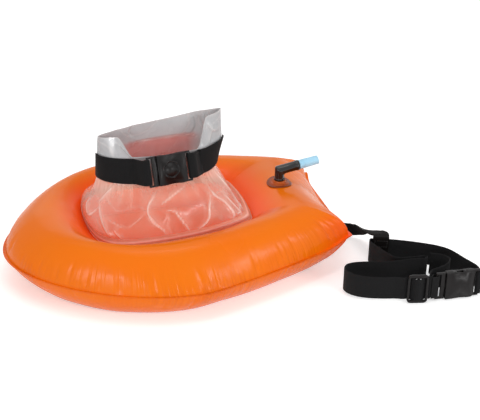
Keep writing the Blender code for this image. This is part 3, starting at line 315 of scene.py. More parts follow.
@dataclass(frozen=True)
class FloatVinyl:
    """Bright welded vinyl with a satin skin; redder and deeper where the sheet turns in towards the bag,
    which is painted shade and orange bounce light, with thin lines of painted shade along its wrinkles.
    """

    bright: tuple = linear(238, 117, 4)
    # Painted shade and orange bounce light for the recess round the bag.
    painted_recess_shade: tuple = linear(254, 80, 8)
    seam: tuple = linear(196, 52, 14)
    roughness: float = 0.25
    wrinkles: float = 190.0

    def build(self) -> bpy.types.Material:
        """Make the material.

        Returns:
            The float's vinyl.
        """
        board = Board("float_vinyl")
        drift = board.noise(9.0, 3.0)
        # The recess share mixes in the painted recess shade where the sheet turns in towards the bag.
        inward = board.attribute("recess")
        share = (inward * 0.85 + drift * 0.35 - 0.12).clamped()
        grain = board.noise(1500.0, 2.0)
        swell = board.noise(55.0, 2.0)
        fine = board.bump(grain, 0.00005, 0.35)
        sheet = board.mix(share, self.bright, self.painted_recess_shade)
        tucks = board.round_noise(0.23, 2.0, self.wrinkles, board.attribute("tuck") * 1.3)
        patches = ((board.noise(16.0, 1.0) - 0.40) * 5.0).clamped()
        tucked = board.attribute("tuck") ** 1.4 * (patches * 0.8 + 0.2)
        wrinkle = board.bump(tucks * tucked, 0.0036, 1.0, board.bump(swell, 0.0008, 0.4, fine))
        # Thin darker lines along the wrinkles are painted shade; the seam strip adds the weld seam's own
        # darker line.
        shade = (abs(tucks - 0.5) * -7.0 + 1).clamped() * tucked * 0.26 + board.attribute("seam") * 0.24
        return board.dress(
            Base_Color=board.mix(shade.clamped(), sheet, self.seam),
            Roughness=(drift - 0.5) * 0.16 + self.roughness, Normal=wrinkle, Specular_IOR_Level=0.17,
        )


@dataclass(frozen=True)
class ClearFilm:
    """Frosted see-through film, whiter along its creases, with painted light: a peach tint of the float's
    orange light in its veil, a painted glow inside, and painted facet light and end sheen in its crease
    paleness.
    """

    # Veil colour of the frosted film; its peach tint is painted bounce light from the orange float.
    frost_and_painted_bounce: tuple = linear(255, 204, 178)
    haze: tuple = linear(192, 193, 195)
    # Red-orange painted on the back wall's inner skin, standing in for the orange float's light seen through
    # the film.
    painted_glow: tuple = linear(206, 92, 78)
    crease: tuple = linear(255, 240, 232)
    cover: float = 0.14
    veil_cover: float = 0.14
    crease_cover: float = 0.62
    hem_cover: float = 0.72

    def build(self) -> bpy.types.Material:
        """Make the material.

        Returns:
            The bag's film.
        """
        board = Board("clear_film")
        veil = board.attribute("veil")
        streaks = board.round_noise(3.8, 3.0, 1.0, board.attribute("rise") * 0.22)
        gathers = (abs(streaks - 0.5) * -9.0 + 1).clamped() * (veil * 0.15 + 0.03)
        # The crease attribute also carries painted facet light and the painted sheen at the bag's ends.
        creased = (board.attribute("crease") + gathers).clamped()
        hem = board.attribute("hem")
        cloud = board.noise(22.0, 3.0)
        cover = creased * (self.crease_cover - self.cover) + hem * (self.hem_cover - self.cover) + self.cover
        cover = cover + veil * (streaks * 2.2 - 0.1) * self.veil_cover + (cloud - 0.5) * 0.05
        ripple = board.noise(160.0, 3.0, 0.6)
        # Above the strap: grey haze, or the red-orange painted glow on the back wall's inner skin.
        above = board.mix(board.attribute("painted_glow"), self.haze, self.painted_glow)
        return board.dress(
            Base_Color=board.mix(creased, board.mix(hem, self.frost_and_painted_bounce, above), self.crease),
            Roughness=(cloud - 0.5) * 0.12 + 0.27,
            Alpha=cover.clamped(),
            Normal=board.bump(gathers, 0.0006, 0.5, board.bump(ripple, 0.0005, 0.25)),
            Coat_Weight=0.35, Coat_Roughness=0.10, Specular_IOR_Level=0.5,
        )


@dataclass(frozen=True)
class PaleWeld:
    """The milky heat weld between the film and the float, with the ribs of the welding bar."""

    milk: tuple = linear(252, 206, 190)
    flush: tuple = linear(246, 158, 122)

    def build(self) -> bpy.types.Material:
        """Make the material.

        Returns:
            The weld's vinyl.
        """
        board = Board("pale_weld")
        rib = board.attribute("along").wave(0.0026)
        patchy = board.noise(60.0, 3.0)
        bead = board.attribute("bead")
        cover = bead * 0.42 + (patchy - 0.5) * 0.3 + 0.48
        return board.dress(
            Base_Color=board.mix((bead * 0.8 + patchy * 0.4 - 0.1).clamped(), self.flush, self.milk),
            Roughness=(patchy - 0.5) * 0.1 + 0.3, Alpha=cover.clamped(),
            Normal=board.bump(rib, 0.00025, 0.6),
        )


@dataclass(frozen=True)
class Webbing:
    """Woven polyester webbing with plain ribs, a thicker edge on each side and a slight sheen."""

    name: str = "webbing_black"
    ground: tuple = linear(6, 6, 7)
    rib: tuple = linear(25, 24, 25)
    pitch: float = 0.0021
    across_pitch: float = 0.0016
    half_width: float = 0.019
    gloss: float = 0.15

    def build(self) -> bpy.types.Material:
        """Make the material.

        Returns:
            The webbing's weave.
        """
        board = Board(self.name)
        along = board.attribute("along")
        across = board.attribute("across")
        warp = across.wave(self.across_pitch)
        weft = (along + (across * (math.pi / self.across_pitch)).sine() * (self.pitch / 4)).wave(self.pitch)
        weave = warp * weft * 0.6 + weft * 0.4
        selvedge = abs(across).above(self.half_width - 0.0012, 0.0008)
        fuzz = board.noise(420.0, 3.0)
        share = (weave * 0.55 + fuzz * 0.45 + selvedge * 0.25 - 0.1).clamped()
        height = weave + selvedge * 0.6
        return board.dress(
            Base_Color=board.mix(share, self.ground, self.rib),
            Roughness=(fuzz - 0.5) * 0.2 + 0.74,
            Normal=board.bump(height, 0.00035, 0.8), Specular_IOR_Level=self.gloss,
            Sheen_Weight=0.04, Sheen_Roughness=0.5,
        )


class Mould(Enum):
    """Moulded plastics and rubbers of the hardware: colours, roughness, reflectance and grain depth."""

    BUCKLE = ("buckle_acetal", linear(14, 11, 11), linear(27, 23, 23), 0.32, 0.22, 0.00006)
    ELBOW = ("elbow_gloss", linear(6, 6, 7), linear(12, 11, 12), 0.12, 0.55, 0.000004)
    MOUTHPIECE = ("mouthpiece_rubber", linear(156, 212, 240), linear(192, 230, 248), 0.38, 0.25, 0.00006)
    POPPET = ("poppet_plastic", linear(150, 205, 236), linear(180, 224, 246), 0.3, 0.4, 0.00003)

    def build(self) -> bpy.types.Material:
        """Make the material: fine moulded grain, slow colour drift and rubbed patches.

        Returns:
            The plastic or rubber.
        """
        name, dark, light, roughness, shine, grain = self.value
        board = Board(name)
        drift = board.noise(85.0, 3.0)
        speckle = board.noise(2600.0, 2.0)
        rubbed = board.cells(240.0)
        share = (drift * 0.7 + speckle * 0.3 - 0.1).clamped()
        return board.dress(
            Base_Color=board.mix(share, dark, light),
            Roughness=(rubbed - 0.4) * 0.12 + roughness,
            Normal=board.bump(speckle, grain, 0.7), Specular_IOR_Level=shine,
        )


@dataclass(frozen=True)
class Thread:
    """Bonded sewing thread."""

    dark: tuple = linear(26, 25, 27)
    light: tuple = linear(74, 71, 72)

    def build(self) -> bpy.types.Material:
        """Make the material.

        Returns:
            The thread's twist.
        """
        board = Board("sewing_thread")
        twist = board.noise(2400.0, 2.0)
        return board.dress(
            Base_Color=board.mix(twist, self.dark, self.light), Roughness=(twist - 0.5) * 0.2 + 0.55,
            Normal=board.bump(twist, 0.0001, 0.6),
        )


# Curves and meshes


def between(start: Vector | float, end: Vector | float, share: float) -> Vector | float:
    """The value a share of the way from start to end."""
    return start + (end - start) * share


def eased(share: float) -> float:
    """A share that starts and ends slowly."""
    share = min(1.0, max(0.0, share))
    return share * share * (3 - 2 * share)


def bezier(start: Vector, out: Vector, back: Vector, end: Vector, share: float) -> Vector:
    """A point on a cubic curve.

    Args:
        start: its first end.
        out: the handle of the first end.
        back: the handle of the second end.
        end: its second end.
        share: how far along the point is.

    Returns:
        The point.
    """
    rest = 1 - share
    ends = start * rest**3 + out * (3 * rest * rest * share)
    return ends + back * (3 * rest * share * share) + end * share**3


def slope(before: Vector, place: Vector, after: Vector) -> Vector:
    """Direction of a smooth curve at the middle one of three places, weighted by their spacing.

    Args:
        before: the place before.
        place: the middle place.
        after: the place after.

    Returns:
        The direction, about one metre long for each metre of the curve.
    """
    back = (place - before).length
    ahead = (after - place).length
    return ((place - before) * (ahead / back) + (after - place) * (back / ahead)) / (back + ahead)


def span(before: Vector, start: Vector, end: Vector, after: Vector, steps: int) -> list[Vector]:
    """Points from start up to, but not with, end on a curve that knows its neighbours.

    Args:
        before: the place before the start.
        start: where the points start.
        end: where they would end.
        after: the place after the end.
        steps: how many points are made.

    Returns:
        The points.
    """
    reach = (end - start).length
    out = start + slope(before, start, end) * (reach / 3)
    back = end - slope(start, end, after) * (reach / 3)
    return [bezier(start, out, back, end, step / steps) for step in range(steps)]


def smooth_route(points: Iterable[Sequence[float]], steps: int) -> list[Vector]:
    """Points along a smooth curve through a route's own points.

    Args:
        points: the route.
        steps: curve pieces between two points of the route.

    Returns:
        The curve's points.
    """
    route = [Vector(p) for p in points]
    padded = [route[0] * 2 - route[1]] + route + [route[-1] * 2 - route[-2]]
    curve: list[Vector] = []
    for before, start, end, after in zip(padded, padded[1:], padded[2:], padded[3:]):
        curve += span(before, start, end, after, steps)
    return curve + [route[-1]]


Store = Callable[[int, int], dict]


def put_in_order(bm: bmesh.types.BMesh, points: Sequence[bmesh.types.BMVert]) -> None:
    """Order a mesh's points and faces, so that every run gives them the same order.

    Args:
        bm: the mesh.
        points: all its points, in the order that they get.
    """
    order = {vert: n for n, vert in enumerate(points)}
    bm.verts.sort(key=lambda vert: order[vert])
    bm.verts.index_update()

    def face_place(face: bmesh.types.BMFace) -> int:
        """A face's place, from its first and its last point."""
        places = [vert.index for vert in face.verts]
        return min(places) * len(order) + max(places)

    bm.faces.sort(key=face_place)


def loft(sections: Sequence[Sequence[Vector]], store: Store, closed: bool = False, capped: bool = False
         ) -> bmesh.types.BMesh:
    """Extrude a closed loop of edges from each section to the next.

    Args:
        sections: closed loops with the same number of points.
        store: for a section and a place in it, the numbers to keep on the point.
        closed: join the last section to the first.
        capped: fill the two ends.

    Returns:
        The surface.
    """
    bm = bmesh.new()
    layers = {name: bm.verts.layers.float.new(name) for name in store(0, 0)}
    rings = [list(bmesh.ops.create_circle(bm, segments=len(sections[0]), radius=1)["verts"])]
    ends = [list(bm.edges)]
    for _ in sections[1:]:
        made = bmesh.ops.extrude_edge_only(bm, edges=ends[-1])["geom"]
        new = {v for v in made if isinstance(v, bmesh.types.BMVert)}
        ring = []
        for old in rings[-1]:
            ring.append(next(e.other_vert(old) for e in old.link_edges if e.other_vert(old) in new))
        edges = [e for e in made if isinstance(e, bmesh.types.BMEdge) and all(v in new for v in e.verts)]
        rings.append(ring)
        ends.append(edges)
    for k, (ring, section) in enumerate(zip(rings, sections)):
        for j, (vert, place) in enumerate(zip(ring, section)):
            vert.co = place
            for name, value in store(k, j).items():
                vert[layers[name]] = value
    if closed:
        bmesh.ops.bridge_loops(bm, edges=ends[0] + ends[-1])
    if capped:
        for end in (ends[0], ends[-1]):
            bmesh.ops.contextual_create(bm, geom=end)
    bmesh.ops.recalc_face_normals(bm, faces=bm.faces)
    put_in_order(bm, [vert for ring in rings for vert in ring])
    return bm


def no_store(_section: int, _place: int) -> dict:
    """Nothing kept on the points."""
    return {}


@dataclass(frozen=True)
class Bend:
    """How a piece crosses a joint: the other body, and the points between which it bends."""

    body: str
    start: tuple[float, float, float]
    end: tuple[float, float, float]


def make_piece(name: str, bm: bmesh.types.BMesh, material: bpy.types.Material, body: str,
               stands_for: Sequence[str] = (), sharp: float = 40.0,
               bend: Bend | None = None) -> bpy.types.Object:
    """Turn a bmesh into a dressed piece that rides on a body.

    Args:
        name: the piece's name.
        bm: its mesh, freed here.
        material: its finish.
        body: the CAD body that it moves with.
        stands_for: the CAD nodes that it replaces.
        sharp: the angle in degrees past which an edge stays sharp.
        bend: how it bends across a joint, if it does.

    Returns:
        The piece.
    """
    mesh = bpy.data.meshes.new(name)
    bm.to_mesh(mesh)
    bm.free()
    mesh.shade_smooth()
    mesh.set_sharp_from_angle(angle=math.radians(sharp))
    mesh.materials.append(material)
    obj = bpy.data.objects.new(name, mesh)
    bpy.context.scene.collection.objects.link(obj)
    if bend:
        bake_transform(obj, body, bend.body, bend.start, bend.end)
    else:
        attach(obj, body)
    if stands_for:
        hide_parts(*stands_for)
    LOG.info("%s: %d faces on %s", name, len(mesh.polygons), body)
    return obj


def merged_copy(nodes: dict, node: str) -> bmesh.types.BMesh:
    """A copy of a CAD node's mesh with its loose triangles joined.

    Args:
        nodes: the CAD nodes by name.
        node: the one to copy.

    Returns:
        The copy.
    """
    bm = bmesh.new()
    bm.from_mesh(nodes[node].data)
    bmesh.ops.remove_doubles(bm, verts=bm.verts, dist=0.000002)
    return bm


# The float


@dataclass
class PlanOutline:
    """Half of a plan outline: nose edge, rounded corner, widest place and round rear."""

    rear: float
    widest_ahead: float
    half_width: float
    nose: float
    nose_half_width: float
    rear_handle: float
    back_handle: float
    front_handle: float
    corner_handle: float
    corner_angle: float
    nose_bulge: float

    def points(self, nose: int, front: int, rear: int) -> list[Vector]:
        """The whole outline, anticlockwise from the middle of the nose edge.

        Args:
            nose: steps along half the nose edge.
            front: steps from the corner to the widest place.
            rear: steps from the widest place to the rear.

        Returns:
            Points in plan.
        """
        corner = Vector((self.nose, self.nose_half_width))
        widest = Vector((self.widest_ahead, self.half_width))
        tail = Vector((-self.rear, 0))
        angle = math.radians(self.corner_angle)
        corner_out = corner + Vector((-math.cos(angle), math.sin(angle))) * self.corner_handle
        half = []
        for share in (step / nose for step in range(nose)):
            bulge = self.nose_bulge * (1 - share * share)
            half.append(Vector((self.nose + bulge, self.nose_half_width * share)))
        widest_front = widest + Vector((self.front_handle, 0))
        half += [bezier(corner, corner_out, widest_front, widest, step / front) for step in range(front)]
        widest_back = widest - Vector((self.back_handle, 0))
        tail_side = tail + Vector((0, self.rear_handle))
        half += [bezier(widest, widest_back, tail_side, tail, step / rear) for step in range(rear)]
        half.append(tail)
        return half + [Vector((p.x, -p.y)) for p in reversed(half[1:-1])]


@dataclass(frozen=True)
class Pucker:
    """A short crease that runs from a seam up the sheet."""

    place: float
    width: float
    depth: float
    reach: float
    side: int


@dataclass
class Float:
    """The inflated float: an upper and a lower sheet welded round their edges."""

    outer: PlanOutline = field(default_factory=lambda: PlanOutline(
        0.26065, 0.0058, 0.1900, 0.26065, 0.1046, 0.0863, 0.1292, 0.0240, 0.0900, 26.4, 0.0))
    weld: PlanOutline = field(default_factory=lambda: PlanOutline(
        0.1319, -0.0464, 0.0915, 0.1136, 0.056, 0.085, 0.065, 0.075, 0.020, 75.0, 0.005))
    seam: float = 0.0469
    upper_rise: float = 0.0594
    lower_rise: float = 0.0521
    flange: float = 0.03
    flange_thickness: float = 0.001
    crest_skew: float = 0.945
    nose_fullness: float = 0.91
    corner_fullness: float = 0.50
    side_fullness: float = 1.00
    rear_fullness: float = 0.55
    inner_fullness: float = 0.68
    lower_fullness: float = 0.60
    weld_share: float = 0.82
    nose_steps: int = 70
    front_steps: int = 140
    rear_steps: int = 182
    upper_rows: int = 48
    lower_rows: int = 30

    def __post_init__(self) -> None:
        """Work out the three outlines and the fullness round the float."""
        steps = (self.nose_steps, self.front_steps, self.rear_steps)
        self.outer_line = self.outer.points(*steps)
        self.weld_line = self.weld.points(*steps)
        lines = zip(self.outer_line, self.weld_line)
        self.inner_line = [between(outer, weld, 1 / self.weld_share) for outer, weld in lines]
        half = [self.nose_full(step / self.nose_steps) for step in range(self.nose_steps)]
        half += [between(self.corner_fullness, self.side_fullness, eased(step / self.front_steps))
                 for step in range(self.front_steps)]
        half += [between(self.side_fullness, self.rear_fullness, step / self.rear_steps)
                 for step in range(self.rear_steps + 1)]
        self.fullness = half + half[-2:0:-1]
        lengths = [0.0]
        for start, end in zip(self.outer_line, self.outer_line[1:] + self.outer_line[:1]):
            lengths.append(lengths[-1] + (end - start).length)
        self.girth = lengths[-1]
        self.along = lengths[:-1]

    def nose_full(self, along: float) -> float:
        """How full the sheet is at a share of the way from the middle of the nose to its corner."""
        return between(self.nose_fullness, self.corner_fullness, min(1.0, along * 1.25))

    def height(self, share: float, side: int, fullness: float) -> float:
        """Height above or below the seam, share of the way from the outer to the inner seam.

        Args:
            share: how far in from the outer seam it is.
            side: 1 for the upper sheet, -1 for the lower.
            fullness: the power that shapes the outer half of the sheet.

        Returns:
            The height in metres.
        """
        inside = (share - self.flange) / (1 - 2 * self.flange)
        if inside <= 0 or inside >= 1:
            return self.flange_thickness
        if side < 0:
            rise = self.lower_rise * math.sin(math.pi * inside) ** self.lower_fullness
        else:
            skewed = inside ** self.crest_skew
            power = fullness if skewed < 0.5 else self.inner_fullness
            rise = self.upper_rise * math.sin(math.pi * skewed) ** power
        return max(self.flange_thickness, rise)

    def point(self, n: int, share: float, side: int) -> Vector:
        """A point of the upper (side 1) or lower (side -1) sheet at one place of the outline.

        Args:
            n: the place on the outline.
            share: how far in from the outer seam it is.
            side: 1 for the upper sheet, -1 for the lower.

        Returns:
            The point.
        """
        plan = between(self.outer_line[n], self.inner_line[n], share)
        height = self.seam + side * self.height(share, side, self.fullness[n])
        return Vector((plan.x, plan.y, max(0.0, height)))

    def top_near_nose(self, x: float, y: float) -> float:
        """Height of the upper sheet at a place near the middle of the nose.

        Args:
            x: metres towards the nose.
            y: metres to the side.

        Returns:
            The height over the ground.
        """
        outer, inner = self.outer_line[0], self.inner_line[0]
        share = (outer.x - x) / (outer.x - inner.x)
        half = between(self.outer.nose_half_width, self.inner_line[self.nose_steps].y, share)
        return self.seam + self.height(share, 1, self.nose_full(min(1.0, abs(y) / half)))

    def puckers(self) -> list[Pucker]:
        """Creases along the outer seam: small ones all round, longer ones at the nose corners.

        Returns:
            The creases.
        """
        rng = random.Random(11)
        made = []
        place = 0.0
        while place < self.girth:
            side = rng.choice((1, 1, -1))
            made.append(Pucker(place, rng.uniform(0.0018, 0.0045), rng.uniform(0.0004, 0.0017),
                               rng.uniform(0.08, 0.24), side))
            place += rng.uniform(0.006, 0.024)
        corner = self.along[self.nose_steps]
        for corner_place in (corner, self.girth - corner):
            for offset in (-0.034, -0.022, -0.011, 0.008, 0.019, 0.033, 0.050, 0.068):
                depth = rng.uniform(0.0014, 0.0026)
                made.append(Pucker(corner_place + offset, rng.uniform(0.003, 0.006), depth, 0.30, 1))
                made.append(Pucker(corner_place + offset + 0.005, 0.004, depth * 0.8, 0.26, -1))
        return made

    def near_puckers(self) -> list[list[tuple[Pucker, float]]]:
        """For each place of the outline, the creases that reach it and how strongly.

        Returns:
            A list of creases and strengths for each place.
        """
        puckers = self.puckers()
        made = []
        for along in self.along:
            found = []
            for pucker in puckers:
                off = abs(along - pucker.place)
                off = min(off, self.girth - off)
                if off < 3 * pucker.width:
                    found.append((pucker, math.exp(-(off / pucker.width) ** 2)))
            made.append(found)
        return made

    def dent(self, n: int, share: float, side: int, near: Sequence[tuple[Pucker, float]]) -> float:
        """How far the sheet is drawn in at a point, by its creases and its slow unevenness.

        Args:
            n: the place on the outline.
            share: how far in from the outer seam it is.
            side: 1 for the upper sheet, -1 for the lower.
            near: the creases that reach the place, and how strongly.

        Returns:
            The depth in metres, below 0 where the sheet stands out.
        """
        inside = (share - self.flange) / (1 - 2 * self.flange)
        if inside <= 0 or inside >= 1:
            return 0.0
        depth = 0.0
        for pucker, strength in near:
            if pucker.side == side:
                depth += pucker.depth * strength * eased(inside / 0.03) * (1 - eased(inside / pucker.reach))
        place = self.point(n, share, side)
        slow = noise.noise(place * 14.0) * 0.0011 + noise.noise(place * 38.0) * 0.00035
        if side > 0:
            front = eased(-place.y / 0.06) * eased((0.10 - place.x) / 0.05) * eased((place.x + 0.20) / 0.06)
            depth += 0.0030 * front * math.exp(-((share - 0.66) / 0.09) ** 2)
        return depth - slow * eased(inside / 0.12) * eased((1 - inside) / 0.12)

    def corner_lift(self, n: int, share: float) -> Vector:
        """How far the pressure lifts the seam at the two nose corners.

        Args:
            n: the place on the outline.
            share: how far in from the outer seam it is.

        Returns:
            The move.
        """
        corner = self.along[self.nose_steps]
        far = (corner, 0.015, Vector((0.0035, 0, 0.0085)))
        near = (self.girth - corner, 0.030, Vector((0.001, 0, 0.0085)))
        lift = Vector()
        for place, width, move in (far, near):
            off = (self.along[n] - place) / width
            lift += move * (math.exp(-off ** 2) * (1 - eased(share / 0.24)))
        return lift

    def corner_painted_shade(self, n: int, share: float) -> float:
        """How much painted recess shade the sheet gets near the near nose corner, most at the seam.

        Args:
            n: the place on the outline.
            share: how far in from the outer seam it is.

        Returns:
            The share of painted shade, between 0 and 1.
        """
        # Painted shade: the recess's shade colour, strongest at the seam near the near nose corner.
        off = (self.along[n] - self.girth + self.along[self.nose_steps]) / 0.045
        return 0.85 * math.exp(-off * off) * (1 - eased(share / 0.26))

    def rows(self) -> list[tuple[float, int]]:
        """Rows of points from the outer seam in over the upper sheet and back out under the lower one.

        Returns:
            Each row's share of the way in, and its sheet: 1 for the upper and -1 for the lower.
        """
        made: list[tuple[float, int]] = []
        for side, count in ((1, self.upper_rows), (-1, self.lower_rows)):
            half = [0.0, self.flange * 0.9, self.flange]
            for share in (step / count for step in range(1, count)):
                half.append(self.flange + (1 - 2 * self.flange) * (eased(share) * 0.45 + share * 0.55))
            half += [1 - self.flange, 1.0]
            made += [(share, side) for share in half[::side]]
        return made

    def build(self, vinyl: bpy.types.Material) -> bpy.types.Object:
        """Make the float as one closed skin.

        Args:
            vinyl: its finish.

        Returns:
            The float.
        """
        near = self.near_puckers()
        rows = self.rows()
        count = len(self.outer_line)
        sections = []
        for share, side in rows:
            sections.append([self.point(n, share, side) + self.corner_lift(n, share) for n in range(count)])

        def store(k: int, n: int) -> dict:
            """What a point keeps: its share of painted recess shade, seam strip, depth, direction round and
            gathering.

            Args:
                k: the row.
                n: the place on the outline.

            Returns:
                The numbers by name.
            """
            share, side = rows[k]
            angle = 2 * math.pi * n / count
            return {
                # recess: how much painted shade and bounce light the point gets, also near the near nose
                # corner.
                "recess": max(eased((share - 0.46) / 0.36), self.corner_painted_shade(n, share)),
                "seam": 1 - eased((share - self.flange * 0.5) / (self.flange * 0.6)),
                "dent": self.dent(n, share, side, near[n]),
                "round_x": math.cos(angle),
                "round_y": math.sin(angle),
                "tuck": max(0.0, 1 - share / (0.24 if side > 0 else 0.34)),
            }

        bm = loft(sections, store, closed=True)
        bm.normal_update()
        layer = bm.verts.layers.float["dent"]
        moves = [(v, v.normal * v[layer]) for v in bm.verts]
        for vert, move in moves:
            vert.co -= move
            vert.co.z = max(vert.co.z, 0.0)
        panels = ("float_upper_panel", "float_lower_panel")
        return make_piece("float_skin", bm, vinyl, "float", panels)


# The dry bag


@dataclass
class Level:
    """One level of the film: its reach each way, its heights, and how round its plan is."""

    rear: float
    nose: float
    front: float
    back: float
    rear_height: float
    nose_height: float
    roundness: float = 1.0

    def point(self, unit: Vector) -> Vector:
        """The level's point for a direction of the weld outline.

        Args:
            unit: the direction, in half lengths and half widths of that outline.

        Returns:
            The point.
        """
        angle = math.atan2(unit.y, unit.x)
        mixed = between(unit, Vector((math.cos(angle), math.sin(angle))), self.roundness)
        depth = self.back if mixed.y > 0 else self.front
        height = between(self.rear_height, self.nose_height, (mixed.x + 1) / 2)
        return Vector((
            (self.nose - self.rear) / 2 + (self.nose + self.rear) / 2 * mixed.x, depth * mixed.y, height,
        ))


@dataclass(frozen=True)
class Crease:
    """A fold line of the film, as shares round the bag and up to the strap, with its height and width."""

    line: tuple[tuple[float, float], ...]
    rise: float = 0.0022
    width: float = 0.0038
    pale: float = 1.0


@dataclass
class Bag:
    """The dry bag: weld band, film walls with their creases, and the sheet that closes its bottom."""

    float_body: Float
    film_thickness: float = 0.0012
    band_share: float = 0.04
    band_thickness: float = 0.001
    low: Level = field(default_factory=lambda: Level(0.1124, 0.0706, 0.052, 0.014, 0.161, 0.161))
    high: Level = field(default_factory=lambda: Level(0.1109, 0.0819, 0.036, 0.012, 0.2005, 0.2005))
    mouth: Level = field(default_factory=lambda: Level(0.1090, 0.0800, 0.022, 0.009, 0.226, 0.247))
    lip_kept: float = 0.0
    flap_start: float = 0.50
    flap_end: float = 0.74
    belly_steps: int = 15
    strap_steps: int = 8
    mouth_steps: int = 20
    strap_share: float = 0.2
    crease_girth: float = 0.46
    below_strap: float = 0.115
    strap_rate: float = 0.2
    lip_start: float = 0.155
    above_strap: float = 0.045

    BELLY = (
        {"height": 0.30, "rear": -0.13, "nose": 0.44, "front": 0.09, "back": 0.16, "round": 0.35},
        {"height": 0.62, "rear": 0.52, "nose": 0.68, "front": 0.40, "back": 0.50, "round": 0.70},
    )
    BELOW = (
        Crease(((0.538, 0.667), (0.561, 0.5), (0.598, 0.333), (0.629, 0.139))),
        Crease(((0.576, 0.5), (0.629, 0.444), (0.682, 0.389), (0.705, 0.5), (0.727, 0.694)),
               -0.0014, 0.0034, 0.5),
        Crease(((0.75, 0.944), (0.735, 0.778), (0.727, 0.694), (0.735, 0.5), (0.75, 0.278), (0.75, 0.083)),
               0.0018),
        Crease(((0.75, 0.722), (0.773, 0.833), (0.795, 0.917)), 0.0012, 0.003),
        Crease(((0.75, 0.639), (0.765, 0.611), (0.773, 0.5), (0.78, 0.306), (0.78, 0.083)), 0.0014, 0.003),
        Crease(((0.75, 0.639), (0.758, 0.556), (0.758, 0.361), (0.758, 0.056)), -0.0012, 0.003, 0.4),
        Crease(((0.841, 0.75), (0.826, 0.528), (0.818, 0.333), (0.795, 0.167), (0.78, 0.083))),
        Crease(((0.848, 0.806), (0.848, 0.694), (0.871, 0.472), (0.871, 0.25), (0.833, 0.056)),
               0.0026, 0.0045),
        Crease(((0.886, 0.611), (0.894, 0.5), (0.902, 0.306), (0.871, 0.083), (0.856, 0.028)), 0.0020),
        Crease(((0.636, 0.333), (0.659, 0.167), (0.667, 0.028)), 0.0014),
        Crease(((0.508, 0.667), (0.508, 0.444), (0.523, 0.361), (0.545, 0.583)), 0.0018, 0.004),
        Crease(((0.932, 0.944), (0.932, 0.722), (0.947, 0.361), (0.924, 0.167)), 0.0024, 0.005),
        Crease(((0.583, 0.972), (0.553, 0.806), (0.538, 0.667)), 0.0014, 0.003),
        Crease(((0.924, 0.25), (0.879, 0.194), (0.932, 0.222), (0.909, 0.111)), 0.0014, 0.003),
        Crease(((0.20, 0.9), (0.22, 0.6), (0.17, 0.3)), 0.0022, 0.005),
        Crease(((0.31, 0.85), (0.29, 0.55), (0.33, 0.2)), 0.0020, 0.005),
        Crease(((0.10, 0.8), (0.13, 0.5), (0.09, 0.2)), 0.0018, 0.004),
    )
    ABOVE = (
        Crease(((0.81, 0.0), (0.822, 0.5), (0.815, 1.0)), 0.0020, 0.0030),
        Crease(((0.84, 0.1), (0.835, 0.5), (0.85, 0.9)), -0.0016, 0.0028, 0.4),
        Crease(((0.856, 0.75), (0.886, 0.5), (0.962, 0.417)), 0.0018, 0.0034),
        Crease(((0.86, 0.0), (0.875, 0.35), (0.90, 0.6)), 0.0020, 0.0034),
        Crease(((0.614, 0.667), (0.667, 0.5), (0.705, 0.0)), 0.0024, 0.0034),
        Crease(((0.100, 0.0), (0.108, 0.5), (0.100, 0.95)), 0.0016, 0.0024, 1.0),
        Crease(((0.118, 0.05), (0.122, 0.5), (0.128, 0.9)), 0.0014, 0.0020, 1.0),
        Crease(((0.138, 0.0), (0.136, 0.35), (0.145, 0.7)), 0.0016, 0.0024, 1.0),
        Crease(((0.30, -0.08), (0.27, 0.07), (0.23, 0.13), (0.18, 0.10), (0.15, -0.06)), 0.0018, 0.0036, 2.0),
        Crease(((0.28, 0.3), (0.30, 0.6), (0.29, 1.0)), 0.0014, 0.004, 0.4),
        Crease(((0.18, 0.0), (0.16, 0.5), (0.17, 0.9)), 0.0014, 0.004, 0.5),
    )

    def places(self) -> range:
        """Every second place of the float's outline."""
        return range(0, len(self.float_body.weld_line), 2)

    def unit(self, place: Vector) -> Vector:
        """A place of the weld outline in half lengths and half widths of that outline.

        Args:
            place: a point of the weld outline.

        Returns:
            The direction.
        """
        weld = self.float_body.weld
        nose = weld.nose + weld.nose_bulge
        along = (place.x - (nose - weld.rear) / 2) / ((nose + weld.rear) / 2)
        return Vector((along, place.y / weld.half_width))

    def off_float(self, n: int, share: float, distance: float, side: int = 1) -> Vector:
        """A point at a distance off the float's surface, square to it along its ruling.

        Args:
            n: the place on the outline.
            share: how far in from the outer seam it is.
            distance: how far off it is, in metres.
            side: 1 for the upper sheet, -1 for the lower.

        Returns:
            The point.
        """
        point = self.float_body.point
        step = self.band_share / 2
        tangent = (point(n, share + step, side) - point(n, share - step, side)).normalized()
        normal = tangent.cross(Vector((0, 0, 1))).cross(tangent).normalized()
        if normal.z * side < 0:
            normal = -normal
        return point(n, share, side) + normal * distance

    def dip(self, unit: Vector) -> float:
        """How far the front edge of the film is drawn down to the strap.

        Args:
            unit: the direction from the middle of the bag.

        Returns:
            1 where the edge lies at the strap, and 0 where it stands at its full height.
        """
        if unit.y > 0:
            return 0.0
        along = abs(math.cos(math.atan2(unit.y, unit.x)))
        return 1 - eased((along - self.flap_start) / (self.flap_end - self.flap_start))

